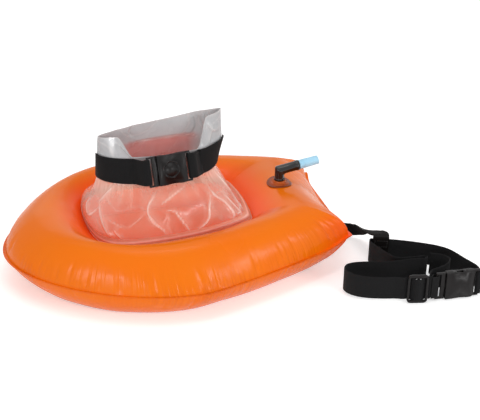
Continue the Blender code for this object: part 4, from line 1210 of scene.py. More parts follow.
    def column(self, n: int) -> list[Vector]:
        """The film's smooth outer face from the weld up to its free edge at one place round the bag.

        Args:
            n: the place on the outline.

        Returns:
            The points, from the weld up.
        """
        weld = self.float_body.weld
        unit = self.unit(self.float_body.weld_line[n])
        foot_share = self.float_body.weld_share - self.band_share / 4
        foot = self.off_float(n, foot_share, 2 * GAP + self.band_thickness)
        nose = weld.nose + weld.nose_bulge
        knots = [foot]
        for shares in self.BELLY:
            height = between(foot.z, self.low.rear_height, shares["height"])
            level = Level(
                between(weld.rear, self.low.rear, shares["rear"]),
                between(nose, self.low.nose, shares["nose"]),
                between(weld.half_width, self.low.front, shares["front"]),
                between(weld.half_width, self.low.back, shares["back"]),
                height, height, shares["round"],
            )
            knots.append(level.point(unit))
        low, high = self.low.point(unit), self.high.point(unit)
        knots.append(low)
        edge = between(high, self.mouth.point(unit), between(1, self.lip_kept, self.dip(unit)))
        padded = [knots[0] * 2 - knots[1]] + knots + [high]
        made: list[Vector] = []
        for k in range(3):
            made += span(*padded[k:k + 4], self.belly_steps)
        made += [between(low, high, step / self.strap_steps) for step in range(self.strap_steps)]
        made += [between(high, edge, step / self.mouth_steps) for step in range(self.mouth_steps + 1)]
        return made

    def height_share(self, k: int) -> float:
        """Where a level is: 0 at the weld, 1 to 1.2 behind the strap, then up to 2.2 at the free edge.

        Args:
            k: the level.

        Returns:
            The height share.
        """
        belly = 3 * self.belly_steps
        if k <= belly:
            return k / belly
        if k <= belly + self.strap_steps:
            return 1 + self.strap_share * (k - belly) / self.strap_steps
        return 1 + self.strap_share + (k - belly - self.strap_steps) / self.mouth_steps

    def segments(self) -> list[tuple[float, float, float, float, Crease, float]]:
        """Every crease as short straight pieces in metres round and up the film, with how strong each is.

        Returns:
            Both ends, the crease and the strength of each piece.
        """
        made = []
        below = (self.BELOW, 0.0, self.below_strap)
        above = (self.ABOVE, self.lip_start, self.above_strap)
        for lines, lift, tall in (below, above):
            for crease in lines:
                flat = [Vector((a * self.crease_girth, lift + t * tall, 0)) for a, t in crease.line]
                curve = smooth_route(flat, 4)
                last = len(curve) - 1
                for n, (start, end) in enumerate(zip(curve, curve[1:])):
                    strength = eased((n + 0.6) / (0.3 * last)) * eased((last - n - 0.4) / (0.3 * last))
                    made.append((start.x, start.y, end.x, end.y, crease, 0.25 + 0.75 * strength))
        return made

    def flat_place(self, around: float, share: float) -> tuple[float, float]:
        """Where a point lies on the flat film that the creases are drawn on.

        Args:
            around: share of the way round the bag.
            share: the level's height share.

        Returns:
            Metres round and metres up.
        """
        strap_top = 1 + self.strap_share
        if share > strap_top:
            up = self.lip_start + (share - strap_top) * self.above_strap
        elif share > 1:
            up = self.below_strap + (share - 1) * self.strap_rate
        else:
            up = share * self.below_strap
        return around * self.crease_girth, up

    def near_creases(self, x: float, y: float, pieces: Sequence[tuple]) -> list[tuple]:
        """The creases that reach a place of the flat film.

        Args:
            x: metres round.
            y: metres up.
            pieces: the creases' straight pieces.

        Returns:
            For each its distance, whether the place is on its gentle side, the crease and its strength.
        """
        best: dict[int, tuple] = {}
        for x0, y0, x1, y1, crease, strength in pieces:
            reach = crease.width * 3.4
            if not min(x0, x1) - reach <= x <= max(x0, x1) + reach:
                continue
            if not min(y0, y1) - reach <= y <= max(y0, y1) + reach:
                continue
            dx, dy = x1 - x0, y1 - y0
            along = ((x - x0) * dx + (y - y0) * dy) / (dx * dx + dy * dy + 1e-12)
            along = min(1.0, max(0.0, along))
            off = math.hypot(x - x0 - dx * along, y - y0 - dy * along)
            key = id(crease)
            if off < best.get(key, (1.0,))[0]:
                best[key] = (off, dx * (y - y0) - dy * (x - x0) > 0, crease, strength)
        return list(best.values())

    def relief(self, around: float, share: float, place: Vector, pieces: Sequence[tuple]
               ) -> tuple[float, float]:
        """How far the film stands out at a point, and how pale it is there, with painted light on the gentle
        facet of each crease.

        Args:
            around: share of the way round the bag.
            share: the level's height share.
            place: the smooth film's point.
            pieces: the creases' straight pieces.

        Returns:
            The rise in metres and the paleness between 0 and 1.
        """
        x, y = self.flat_place(around, share)
        rise = 0.0
        pale = 0.0
        for off, gentle, crease, strength in self.near_creases(x, y, pieces):
            near = off / crease.width
            slope_reach = 2.6 if gentle else 0.9
            rise += crease.rise * strength * max(0.0, 1 - near / slope_reach) ** 1.2
            line = math.exp(-(near / 0.24) ** 2) * 0.9
            # Painted light: the gentle side of each crease is made paler, as if lit.
            painted_facet_light = 0.30 * max(0.0, 1 - near / slope_reach) ** 1.5 if gentle else 0.0
            pale = max(pale, crease.pale * strength * max(line, painted_facet_light) * (1.0 if share < 1 else 0.45))
        crumple = 1 - abs(noise.noise(place * 19.0 + Vector((3.1, 0.4, 7.7)))) * 2.6
        fan = noise.noise(Vector((x * 34.0, y * 9.0, 5.0)))
        rise += 0.0006 * crumple + 0.0016 * fan
        pale = max(pale * 0.8, eased((crumple - 0.9) / 0.1) * 0.16)
        gather = math.exp(-((share - 1.1) / 0.16) ** 2)
        rise += 0.0006 * gather * noise.noise(Vector((x * 190.0, share * 3.0, 0.0)))
        held = eased((share - 0.10) / 0.10) * (1 - 0.75 * math.exp(-((share - 1.1) / 0.13) ** 2))
        return rise * held, pale * (0.3 + 0.7 * held)

    def build_film(self, film: bpy.types.Material) -> bpy.types.Object:
        """Make the film as an open-topped wall with two skins.

        Args:
            film: its finish.

        Returns:
            The film.
        """
        columns = [self.column(n) for n in self.places()]
        count = len(columns)
        levels = len(columns[0])
        pieces = self.segments()
        outer = [[Vector()] * count for _ in range(levels)]
        inner = [[Vector()] * count for _ in range(levels)]
        pale = [[0.0] * count for _ in range(levels)]
        for n, column in enumerate(columns):
            ahead, behind = columns[(n + 1) % count], columns[n - 1]
            for k, place in enumerate(column):
                upward = column[min(k + 1, levels - 1)] - column[max(k - 1, 0)]
                outward = (ahead[k] - behind[k]).cross(upward).normalized()
                rise, shade = self.relief(n / count, self.height_share(k), place, pieces)
                outer[k][n] = place + outward * rise
                inner[k][n] = place + outward * (rise - self.film_thickness * 0.5)
                pale[k][n] = shade
        sections = outer + inner[::-1]
        order = list(range(levels)) + list(range(levels))[::-1]

        def store(k: int, n: int) -> dict:
            """What a point keeps: paleness, hem, painted glow on the inner skin, milkiness, direction round
            and height.

            Args:
                k: the level, out and up, then in and down.
                n: the place round the bag.

            Returns:
                The numbers by name.
            """
            share = self.height_share(order[k])
            edge = math.exp(-((2.2 - share) / 0.05) ** 2)
            unit = self.unit(self.float_body.weld_line[2 * n])
            # Paler, more opaque bands at the bag's two ends below the strap: painted sheen of the film seen
            # edge-on there.
            ends = eased((abs(unit.x) - 0.72) / 0.28) * (0.32 if share < 1 else 0)
            uneven = noise.noise(Vector((unit.x * 9, share * 3, 0)))
            # Painted glow: red-orange on the back wall's inner skin, at and just above the strap.
            painted_glow_top = 1.15 + 0.05 * eased((unit.x + 0.30) / 0.30) + 0.05 * uneven
            painted_glow = eased((unit.y + 0.2) / 0.3) * (1 - eased((share - painted_glow_top) / 0.26))
            painted_glow *= eased((0.80 - abs(unit.x)) / 0.35) if k >= levels else 0.0
            angle = 2 * math.pi * n / count
            shoulder = eased((unit.x - 0.35) / 0.3) * eased((share - 0.12) / 0.3)
            shoulder = shoulder * eased((0.3 - unit.y) / 0.3) * 0.45
            near_strap = eased((share - 0.55) / 0.45)
            return {
                # crease carries crease paleness, the free edge, and the painted end sheen.
                "crease": min(1.0, pale[order[k]][n] + edge * 0.2 + ends * 0.8),
                "hem": eased((share - 0.98) / 0.10),
                "painted_glow": painted_glow,
                "veil": max(shoulder, near_strap) * (1 - eased((share - 1.0) / 0.1)),
                "round_x": math.cos(angle),
                "round_y": math.sin(angle),
                "rise": share,
            }

        bm = loft(sections, store, closed=True)
        return make_piece("film_walls", bm, film, "float", ("bag_film",))

    def build_band(self, weld: bpy.types.Material) -> bpy.types.Object:
        """Make the weld band: a thin flange with two raised beads.

        Args:
            weld: its finish.

        Returns:
            The band.
        """
        middle = self.float_body.weld_share
        half = self.band_share / 2
        flat = [(0.9, 0.0), (0.0, 0.0), (-0.7, 0.0), (-1.35, 0.1),
                (-1.4, 0.35), (-1.1, 0.95), (-0.8, 1.0), (-0.5, 0.7)]
        stand = [0.7, 0.4, 0.4, 1.0, 1.1, 0.5, 0.8, 0.5]
        beads = [0.0, 0.0, 0.0, 0.4, 0.9, 1.0, 0.7, 0.1, 0.0, 0.0,
                 0.2, 0.9, 1.0, 0.3, 0.2, 0.1, 0.1, 0.9, 0.2, 0.0]
        line = self.float_body.weld_line
        places = list(self.places())
        lengths = [0.0]
        for n in places[:-1]:
            lengths.append(lengths[-1] + (line[n + 2] - line[n]).length)
        columns = [self.column(n) for n in places]
        sections = []
        for k, n in enumerate(places):
            wave = 1 + 0.10 * noise.noise(Vector((lengths[k] * 60.0, 0.0, 2.0)))
            unit = self.unit(line[n])
            reach = half * wave * (1 - 0.6 * eased((abs(unit.x) - 0.55) / 0.3))
            section = []
            for way, up in flat:
                section.append(self.off_float(n, middle + reach * way, GAP + self.band_thickness * up))
            around = columns[(k + 1) % len(places)][0] - columns[k - 1][0]
            out = around.cross(columns[k][4] - columns[k][0]).normalized()
            section += [columns[k][j] + out * (0.0003 + 0.0008 * lift) for j, lift in enumerate(stand)]
            section += [columns[k][j] + out * 0.0002 for j in (7, 5, 3, 1)]
            sections.append(section)

        def store(k: int, j: int) -> dict:
            """Length along the band, and how pale its pressed beads are."""
            return {"along": lengths[k], "bead": beads[j]}

        bm = loft(sections, store, closed=True)
        return make_piece("weld_band", bm, weld, "float", ("bag_weld_band",))

    def build_floor(self, vinyl: bpy.types.Material) -> bpy.types.Object:
        """Make the bottom sheet, a little slack in the middle.

        Args:
            vinyl: its finish.

        Returns:
            The sheet.
        """
        rings = 14
        shares = [step / rings for step in range(1, rings + 1)]
        rows = [(share, 1) for share in shares] + [(share, -1) for share in reversed(shares)]
        sections = []
        for share, side in rows:
            section = []
            for point in self.float_body.inner_line:
                place = point * (share * (1 - 2 * GAP / point.length))
                uneven = noise.noise(Vector((place.x, place.y, 0)) * 16.0)
                slack = (1 - share * share) * (0.004 - 0.003 * uneven)
                height = self.float_body.seam - slack + side * self.film_thickness / 2
                section.append(Vector((place.x, place.y, height)))
            sections.append(section)

        def store(_k: int, _j: int) -> dict:
            """The sheet is in the recess throughout, so it has the painted recess shade all over."""
            return {"recess": 1.0}

        bm = loft(sections, store, capped=True)
        return make_piece("bottom_sheet", bm, vinyl, "float", ("bag_floor",))


# Webbing


@dataclass
class Ribbon:
    """A length of flat webbing along its centres."""

    centres: list[Vector]
    across: list[Vector]
    width: float
    thickness: float = 0.0016

    PROFILE = (
        (-0.5, 0.0), (-0.49, 0.38), (-0.465, 0.5), (-0.2, 0.47), (0.2, 0.47), (0.465, 0.5), (0.49, 0.38),
        (0.5, 0.0), (0.49, -0.38), (0.465, -0.5), (0.2, -0.47), (-0.2, -0.47), (-0.465, -0.5), (-0.49, -0.38),
    )

    def frames(self) -> list[tuple[Vector, Vector, Vector]]:
        """Centre, width direction and outward direction all along.

        Returns:
            One of each for every centre.
        """
        last = len(self.centres) - 1
        made = []
        for n, centre in enumerate(self.centres):
            along = (self.centres[min(n + 1, last)] - self.centres[max(n - 1, 0)]).normalized()
            wide = (self.across[n] - along * self.across[n].dot(along)).normalized()
            made.append((centre, wide, along.cross(wide)))
        return made

    def lengths(self) -> list[float]:
        """Length from the start to each centre.

        Returns:
            The lengths in metres.
        """
        made = [0.0]
        for start, end in zip(self.centres, self.centres[1:]):
            made.append(made[-1] + (end - start).length)
        return made

    def build(self, name: str, material: bpy.types.Material, stands_for: Sequence[str],
              closed: bool = False, bend: Bend | None = None) -> bpy.types.Object:
        """Make the webbing.

        Args:
            name: the piece's name.
            material: its weave.
            stands_for: the CAD nodes that it replaces.
            closed: join its ends.
            bend: how it bends across a joint, if it does.

        Returns:
            The webbing.
        """
        sections = []
        for centre, wide, out in self.frames():
            section = []
            for share, lift in self.PROFILE:
                section.append(centre + wide * (share * self.width) + out * (lift * self.thickness))
            sections.append(section)
        lengths = self.lengths()

        def store(k: int, j: int) -> dict:
            """Where a point is along and across the webbing."""
            return {"along": lengths[k], "across": self.PROFILE[j][0] * self.width}

        bm = loft(sections, store, closed=closed, capped=not closed)
        return make_piece(name, bm, material, "float", stands_for, 60, bend)

    def stitches(self, first: float, last: float, inset: float, toward: Vector) -> list[tuple]:
        """Places for stitches: two rows along the webbing, and a bar across it at the start and the end.

        Args:
            first: where the rows start along the webbing.
            last: where they end.
            inset: how far the rows are from each edge.
            toward: a direction on the side that the stitches are seen from.

        Returns:
            Each stitch's middle, direction and outward direction.
        """
        lengths = self.lengths()
        frames = self.frames()
        step = 0.0032
        half = self.width / 2 - inset

        def place(along: float, across: float, crossing: bool) -> tuple[Vector, Vector, Vector]:
            """One stitch at a length along and a distance across.

            Args:
                along: metres along the webbing.
                across: metres from its middle.
                crossing: whether it lies across the webbing.

            Returns:
                Its middle, direction and outward direction.
            """
            n = max(1, sum(1 for length in lengths[:-1] if length <= along))
            share = (along - lengths[n - 1]) / max(1e-9, lengths[n] - lengths[n - 1])
            centre = between(frames[n - 1][0], frames[n][0], share)
            wide, out = frames[n][1], frames[n][2]
            out = out if out.dot(toward) > 0 else -out
            way = wide if crossing else (frames[n][0] - frames[n - 1][0]).normalized()
            return centre + wide * across + out * (self.thickness * 0.5), way, out

        made = []
        for k in range(int((last - first) / step) + 1):
            made += [place(first + k * step, across, False) for across in (-half, half)]
        for bar in (first, last):
            for k in range(int(2 * half / step)):
                made.append(place(bar, -half + (k + 0.5) * step, True))
        return made


def stitch_row(name: str, places: Sequence[tuple[Vector, Vector, Vector]], thread: bpy.types.Material,
               length: float = 0.0022, radius: float = 0.00032) -> bpy.types.Object:
    """Make a group of stitches that moves with the float.

    Args:
        name: the piece's name.
        places: each stitch's middle, its direction and the direction out of the cloth.
        thread: the finish.
        length: a stitch's length.
        radius: the thread's radius.

    Returns:
        The stitches as one piece.
    """
    bm = bmesh.new()
    for middle, along, out in places:
        side = out.cross(along).normalized()
        axes = Matrix((along.normalized() * (length / 2), side * radius, out.normalized() * radius))
        place = Matrix.Translation(middle) @ axes.transposed().to_4x4()
        bmesh.ops.create_icosphere(bm, subdivisions=1, radius=1, matrix=place)
    return make_piece(name, bm, thread, "float", sharp=180)


# Hardware


@dataclass
class Hardware:
    """Moulded pieces that keep the CAD's own shape, with their surfaces joined and smoothed."""

    nodes: dict

    def keep(self, node: str, body: str, material: bpy.types.Material, sharp: float = 38.0
             ) -> bpy.types.Object:
        """Stand a smoothed copy in for a CAD node.

        Args:
            node: the CAD node.
            body: the body it belongs to.
            material: its finish.
            sharp: the angle in degrees past which an edge stays sharp.

        Returns:
            The copy.
        """
        bm = merged_copy(self.nodes, node)
        bmesh.ops.recalc_face_normals(bm, faces=bm.faces)
        return make_piece(node + "_moulding", bm, material, body, (node,), sharp)


def placement(origin: Vector, along: Vector, up: Vector) -> Matrix:
    """A placement whose X runs along a buckle, Y up its height and Z out of its face.

    Args:
        origin: where it is.
        along: its X direction.
        up: the direction that its Y is nearest to.

    Returns:
        The placement.
    """
    x_axis = along.normalized()
    y_axis = (up - x_axis * up.dot(x_axis)).normalized()
    turned = Matrix((x_axis, y_axis, x_axis.cross(y_axis))).transposed().to_4x4()
    return Matrix.Translation(origin) @ turned


def upright(x: float, y: float, turn: float, height: float) -> Matrix:
    """A placement for a piece that stands on its edge.

    Args:
        x: where it stands.
        y: where it stands.
        turn: its direction in degrees from +X.
        height: how high its middle is.

    Returns:
        The placement.
    """
    angle = math.radians(turn)
    along = Vector((math.cos(angle), math.sin(angle), 0))
    return placement(Vector((x, y, height)), along, Vector((0, 0, 1)))


@dataclass
class Straps:
    """All webbing: the two mouth straps, the belt with its tail, and the leash with its loop."""

    bag: Bag
    webbing: float = 0.038
    thickness: float = 0.0016
    bar: float = 0.0325
    fold_radius: float = 0.0039
    fold_reach: float = 0.0028
    fold_flap: float = 0.0085
    short_flap: float = 0.0040
    steps: int = 12
    leash_width: float = 0.025
    loop_clearance: float = 0.0004
    leash_lap: float = 0.014
    belt_middle: float = 0.0235
    buckle_ahead: float = -0.0139
    buckle_turn: float = 5
    buckle_stand: float = 0.0072
    buckle_half: float = 0.034
    slot: float = 0.0045
    nose_raise: float = 0.0045
    slider_length: float = 0.031
    slider_thickness: float = 0.0042
    slider_rail: float = 0.0035
    slider_bar: float = 0.004
    patch_thickness: float = 0.0012
    patch_start: float = 0.10
    patch_end: float = 0.27

    BUCKLE = (0.3816, -0.230, -5.0)
    SLIDER = (0.3190, -0.2278, -14.0)
    LOOP = (0.3096, -0.1066, -21.0)
    TO_LOOP = (
        (0.2880, -0.2150), (0.2680, -0.2095), (0.2480, -0.2015), (0.2330, -0.1910), (0.2255, -0.1790),
        (0.2250, -0.1690), (0.2310, -0.1615), (0.2410, -0.1590), (0.2530, -0.1600), (0.2700, -0.1640),
        (0.2900, -0.1700), (0.3100, -0.1722), (0.3290, -0.1730), (0.3440, -0.1748), (0.3530, -0.1765),
        (0.3572, -0.1736), (0.3535, -0.1704), (0.3430, -0.1688), (0.3290, -0.1672), (0.3170, -0.1650),
        (0.3085, -0.1590), (0.3035, -0.1500), (0.2995, -0.1390), (0.2960, -0.1270), (0.2925, -0.1160),
        (0.2912, -0.1085), (0.2926, -0.1030),
    )
    FROM_LOOP = (
        (0.3380, -0.1190), (0.3680, -0.1365), (0.3850, -0.1485), (0.3975, -0.1625), (0.4040, -0.1770),
        (0.4090, -0.1920), (0.4145, -0.2060), (0.4180, -0.2160),
    )
    TAIL = (
        (0.3460, -0.2120), (0.3640, -0.2060), (0.3810, -0.1980), (0.3880, -0.1870), (0.3830, -0.1760),
        (0.3660, -0.1650),
    )
    LEASH = (
        (0.2540, 0.0000, 0.0290), (0.2630, -0.0010, 0.0265), (0.2730, -0.0060, 0.0210),
        (0.2835, -0.0155, 0.0170), (0.2940, -0.0260, 0.0160), (0.3010, -0.0345, 0.0190),
        (0.3035, -0.0450, 0.0255), (0.3045, -0.0570, 0.0310), (0.3062, -0.0700, 0.0365),
        (0.3085, -0.0840, 0.0412),
    )
    TWIST = (0.0, 0.0, 5.0, 30.0, 60.0, 76.0, 64.0, 44.0, 27.0, 12.0, 3.0, 0.0)
    WRAP = 0.01

    def fold(self, bar: float, came_from: int, first: int, frame: Matrix, lead: float, flap: float
             ) -> list[Vector]:
        """Webbing that goes round a buckle's bar through its slot and back.

        Args:
            bar: where the bar is along the buckle.
            came_from: the side that the webbing comes from, 1 or -1.
            first: the face that it comes in on, 1 or -1.
            frame: the buckle's placement.
            lead: how far from the bar it starts.
            flap: how far from the bar it ends.

        Returns:
            Its centres.
        """
        local = [(bar + came_from * lead, first * self.fold_radius)]
        for step in range(self.steps + 1):
            angle = math.pi * step / self.steps
            out = bar - came_from * self.fold_reach * math.sin(angle)
            local.append((out, first * self.fold_radius * math.cos(angle)))
        local.append((bar + came_from * flap, -first * self.fold_radius))
        return [frame @ Vector((x, 0, z)) for x, z in local]

    def mouth_frame(self) -> Matrix:
        """Where the mouth buckle sits.

        Returns:
            Its placement.
        """
        low = self.bag.low.point(Vector((0, -1)))
        high = self.bag.high.point(Vector((0, -1)))
        turn = math.radians(self.buckle_turn)
        along = Vector((math.cos(turn), math.sin(turn), 0))
        up = Vector((0, high.y - low.y, high.z - low.z))
        origin = Vector((self.buckle_ahead, (low.y + high.y) / 2, (low.z + high.z) / 2))
        return placement(origin, along, up) @ Matrix.Translation((0, 0, self.buckle_stand))

    def loop_frame(self) -> Matrix:
        """The placement of the leash's end loop on the belt."""
        return upright(*self.LOOP, self.belt_middle)

    def mouth_strap(self, way: int) -> Ribbon:
        """One of the two strap lengths on the film's front: rear (-1) or nose (1).

        Args:
            way: which of them.

        Returns:
            The strap.
        """
        frame = self.mouth_frame()
        up_buckle = (frame.to_3x3() @ Vector((0, 1, 0))).normalized()
        reach = self.buckle_half + self.slot * 4
        ring = []
        for n in self.bag.places():
            unit = self.bag.unit(self.bag.float_body.weld_line[n])
            if unit.x * way <= 0 or unit.y > self.WRAP:
                continue
            low, high = self.bag.low.point(unit), self.bag.high.point(unit)
            middle = (low + high) / 2
            if abs(middle.x - self.buckle_ahead) < reach:
                continue
            ring.append((middle, (high - low).normalized()))
        ring.sort(key=lambda item: -abs(math.atan2(item[0].y, item[0].x - self.buckle_ahead) + math.pi / 2))
        centres, across = [], []
        for n, (middle, up) in enumerate(ring):
            ahead = ring[min(n + 1, len(ring) - 1)][0] - ring[max(n - 1, 0)][0]
            outward = up.cross(ahead).normalized() * way
            raised = self.nose_raise * eased((middle.x - 0.045) / 0.03) if way > 0 else 0.0
            centres.append(middle + outward * (3 * GAP + self.thickness / 2) + up * raised)
            across.append(up)
        folded = self.fold(way * self.bar, way, 1, frame, self.short_flap, self.short_flap)
        route = smooth_route([centres[-8], centres[-1]] + folded[:2], self.steps)
        join = route[self.steps + 1:2 * self.steps]
        count = len(join) + len(folded)
        return Ribbon(centres + join + folded, across + [up_buckle] * count, self.webbing)

    def weave(self, frame: Matrix) -> list[Vector]:
        """Webbing behind the slider's rails and over its middle bar.

        Args:
            frame: the slider's placement.

        Returns:
            Its centres.
        """
        off = self.slider_thickness / 2 + GAP + self.thickness / 2
        inner_edge = self.slider_length / 2 - self.slider_rail
        bar = self.slider_bar / 2
        half = [(self.slider_length / 2 + self.slider_rail, -off), (inner_edge + GAP, -off),
                ((inner_edge + bar) / 2, 0), (bar - GAP, off)]
        return [frame @ Vector((x, 0, z)) for x, z in half + [(-x, z) for x, z in reversed(half)]]

    def belt(self) -> Ribbon:
        """The waist belt on its edge, from the plug's bar round to the socket's bar.

        Returns:
            The belt.
        """
        buckle = upright(*self.BUCKLE, self.belt_middle)
        slider = upright(*self.SLIDER, self.belt_middle)
        loop = self.loop_frame()
        plug_fold = self.fold(-self.bar, -1, 1, buckle, self.fold_flap, self.short_flap)
        socket_fold = self.fold(self.bar, 1, -1, buckle, self.short_flap, self.short_flap)
        straight = [loop @ Vector((self.leash_width * share, 0, 0)) for share in (-.62, -.54, 0, .54, .62)]
        before = [Vector((x, y, self.belt_middle)) for x, y in self.TO_LOOP]
        after = [Vector((x, y, self.belt_middle)) for x, y in self.FROM_LOOP]
        route = before + straight + after
        led = [plug_fold[-2], plug_fold[-1]] + self.weave(slider) + route[:1]
        centres = list(plug_fold) + smooth_route(led, self.steps)[self.steps + 1:-1]
        centres += smooth_route(route + socket_fold[:1], self.steps)[:-1] + socket_fold
        return Ribbon(centres, [Vector((0, 0, 1))] * len(centres), self.webbing)

    def tail(self) -> Ribbon:
        """The belt's spare end, which comes out behind the slider.

        Returns:
            The spare end.
        """
        slider = upright(*self.SLIDER, self.belt_middle)
        off = -(self.slider_thickness / 2 + 2 * GAP + self.thickness * 2)
        route = [slider @ Vector((self.slider_length / part, 0, off)) for part in (4, 2)]
        route += [Vector((x, y, self.belt_middle)) for x, y in self.TAIL]
        centres = smooth_route(route, self.steps)
        return Ribbon(centres, [Vector((0, 0, 1))] * len(centres), self.webbing)

    def leash(self) -> Ribbon:
        """The leash from its patch under the nose to its lap over the loop on the belt.

        Returns:
            The leash.
        """
        off = GAP + self.patch_thickness + GAP + self.thickness / 2
        shares = [between(self.patch_start, self.patch_end, row / 4) for row in (3, 2, 1, 0)]
        anchored = [self.bag.off_float(0, share, off, -1) for share in shares]
        frame = self.loop_frame()
        bend = self.loop_clearance + self.thickness * 1.5 + GAP
        high, front = self.webbing / 2, self.thickness / 2
        over = [(high + bend, -self.leash_lap / 2), (high + bend, -self.leash_lap / 4)]
        for step in range(self.steps + 1):
            angle = math.pi / 2 * step / self.steps
            over.append((high + bend * math.cos(angle), front + bend * math.sin(angle)))
        over.append((high - self.leash_lap, front + bend))
        lapped = [frame @ Vector((0, y, z)) for y, z in over]
        knots = [anchored[-1]] + [Vector(p) for p in self.LEASH] + [lapped[0]]
        middle = smooth_route([anchored[-2]] + knots + [lapped[1]], self.steps)[self.steps:-self.steps]
        belt_way = (frame.to_3x3() @ Vector((-1, 0, 0))).normalized()
        across = [Vector((0, -1, 0))] * (len(anchored) - 1)
        for n in range(len(middle)):
            at = n / self.steps
            k = min(int(at), len(self.TWIST) - 2)
            twist = math.radians(between(self.TWIST[k], self.TWIST[k + 1], at - k))
            along = (middle[min(n + 1, len(middle) - 1)] - middle[max(n - 1, 0)]).normalized()
            level = belt_way if n == len(middle) - 1 else along.cross(Vector((0, 0, 1))).normalized()
            across.append(level * math.cos(twist) + level.cross(along).normalized() * math.sin(twist))
        across += [belt_way] * (len(lapped) - 1)
        return Ribbon(anchored[:-1] + middle + lapped[1:], across, self.leash_width)

    def loop(self) -> Ribbon:
        """The leash's end loop, a flat band right round the belt.

        Returns:
            The loop.
        """
        frame = self.loop_frame()
        side = self.thickness / 2
        end = self.webbing / 2
        radius = self.loop_clearance + self.thickness / 2
        centres = []
        for quarter, (sign_z, sign_y) in enumerate([(1, 1), (-1, 1), (-1, -1), (1, -1)]):
            for step in range(9):
                angle = math.pi / 2 * (quarter + step / 8)
                across = sign_y * end + radius * math.sin(angle)
                out = sign_z * side + radius * math.cos(angle)
                centres.append(frame @ Vector((0, across, out)))
        belt_way = (frame.to_3x3() @ Vector((1, 0, 0))).normalized()
        return Ribbon(centres, [belt_way] * len(centres), self.leash_width)

    def build(self, weave: bpy.types.Material, narrow: bpy.types.Material, thread: bpy.types.Material
              ) -> None:
        """Args:
            weave: the wide webbing's finish.
            narrow: the leash's finish.
            thread: the stitches' finish.
        """
        rear, nose = self.mouth_strap(-1), self.mouth_strap(1)
        rear.build("strap_rear", weave, ("mouth_strap_rear",),
                   bend=Bend("mouth_plug", (-0.108, -0.052, 0.18), (-0.046, -0.052, 0.18)))
        nose.build("strap_nose", weave, ("mouth_strap_nose",))
        face = (self.mouth_frame().to_3x3() @ Vector((0, 0, 1))).normalized()
        total = nose.lengths()[-1]
        stitch_row("stitches_nose", nose.stitches(total - 0.040, total - 0.026, 0.004, face), thread)
        belt = self.belt()
        belt_piece = belt.build("waist_belt", weave, ("belt_webbing",),
                                bend=Bend("belt_socket", (0.386, -0.2, 0.0235), (0.4145, -0.2, 0.0235)))
        self.tail().build("belt_spare_end", weave, ("belt_tail",))
        leash = self.leash()
        leash_piece = leash.build("leash_webbing", narrow, ("tow_leash",))
        self.loop().build("leash_end_loop", narrow, ("leash_loop",), closed=True)
        end = leash.lengths()[-1]
        face = (self.loop_frame().to_3x3() @ Vector((0, 0, 1))).normalized()
        stitch_row("stitches_leash", leash.stitches(end - 0.0125, end - 0.002, 0.003, face), thread)
        below = Vector((0, 0, -1))
        stitch_row("stitches_patch", leash.stitches(0.001, 0.013, 0.003, below), thread)
        leash.lengths()[-1]
        belt.lengths()[-1]


# The valve


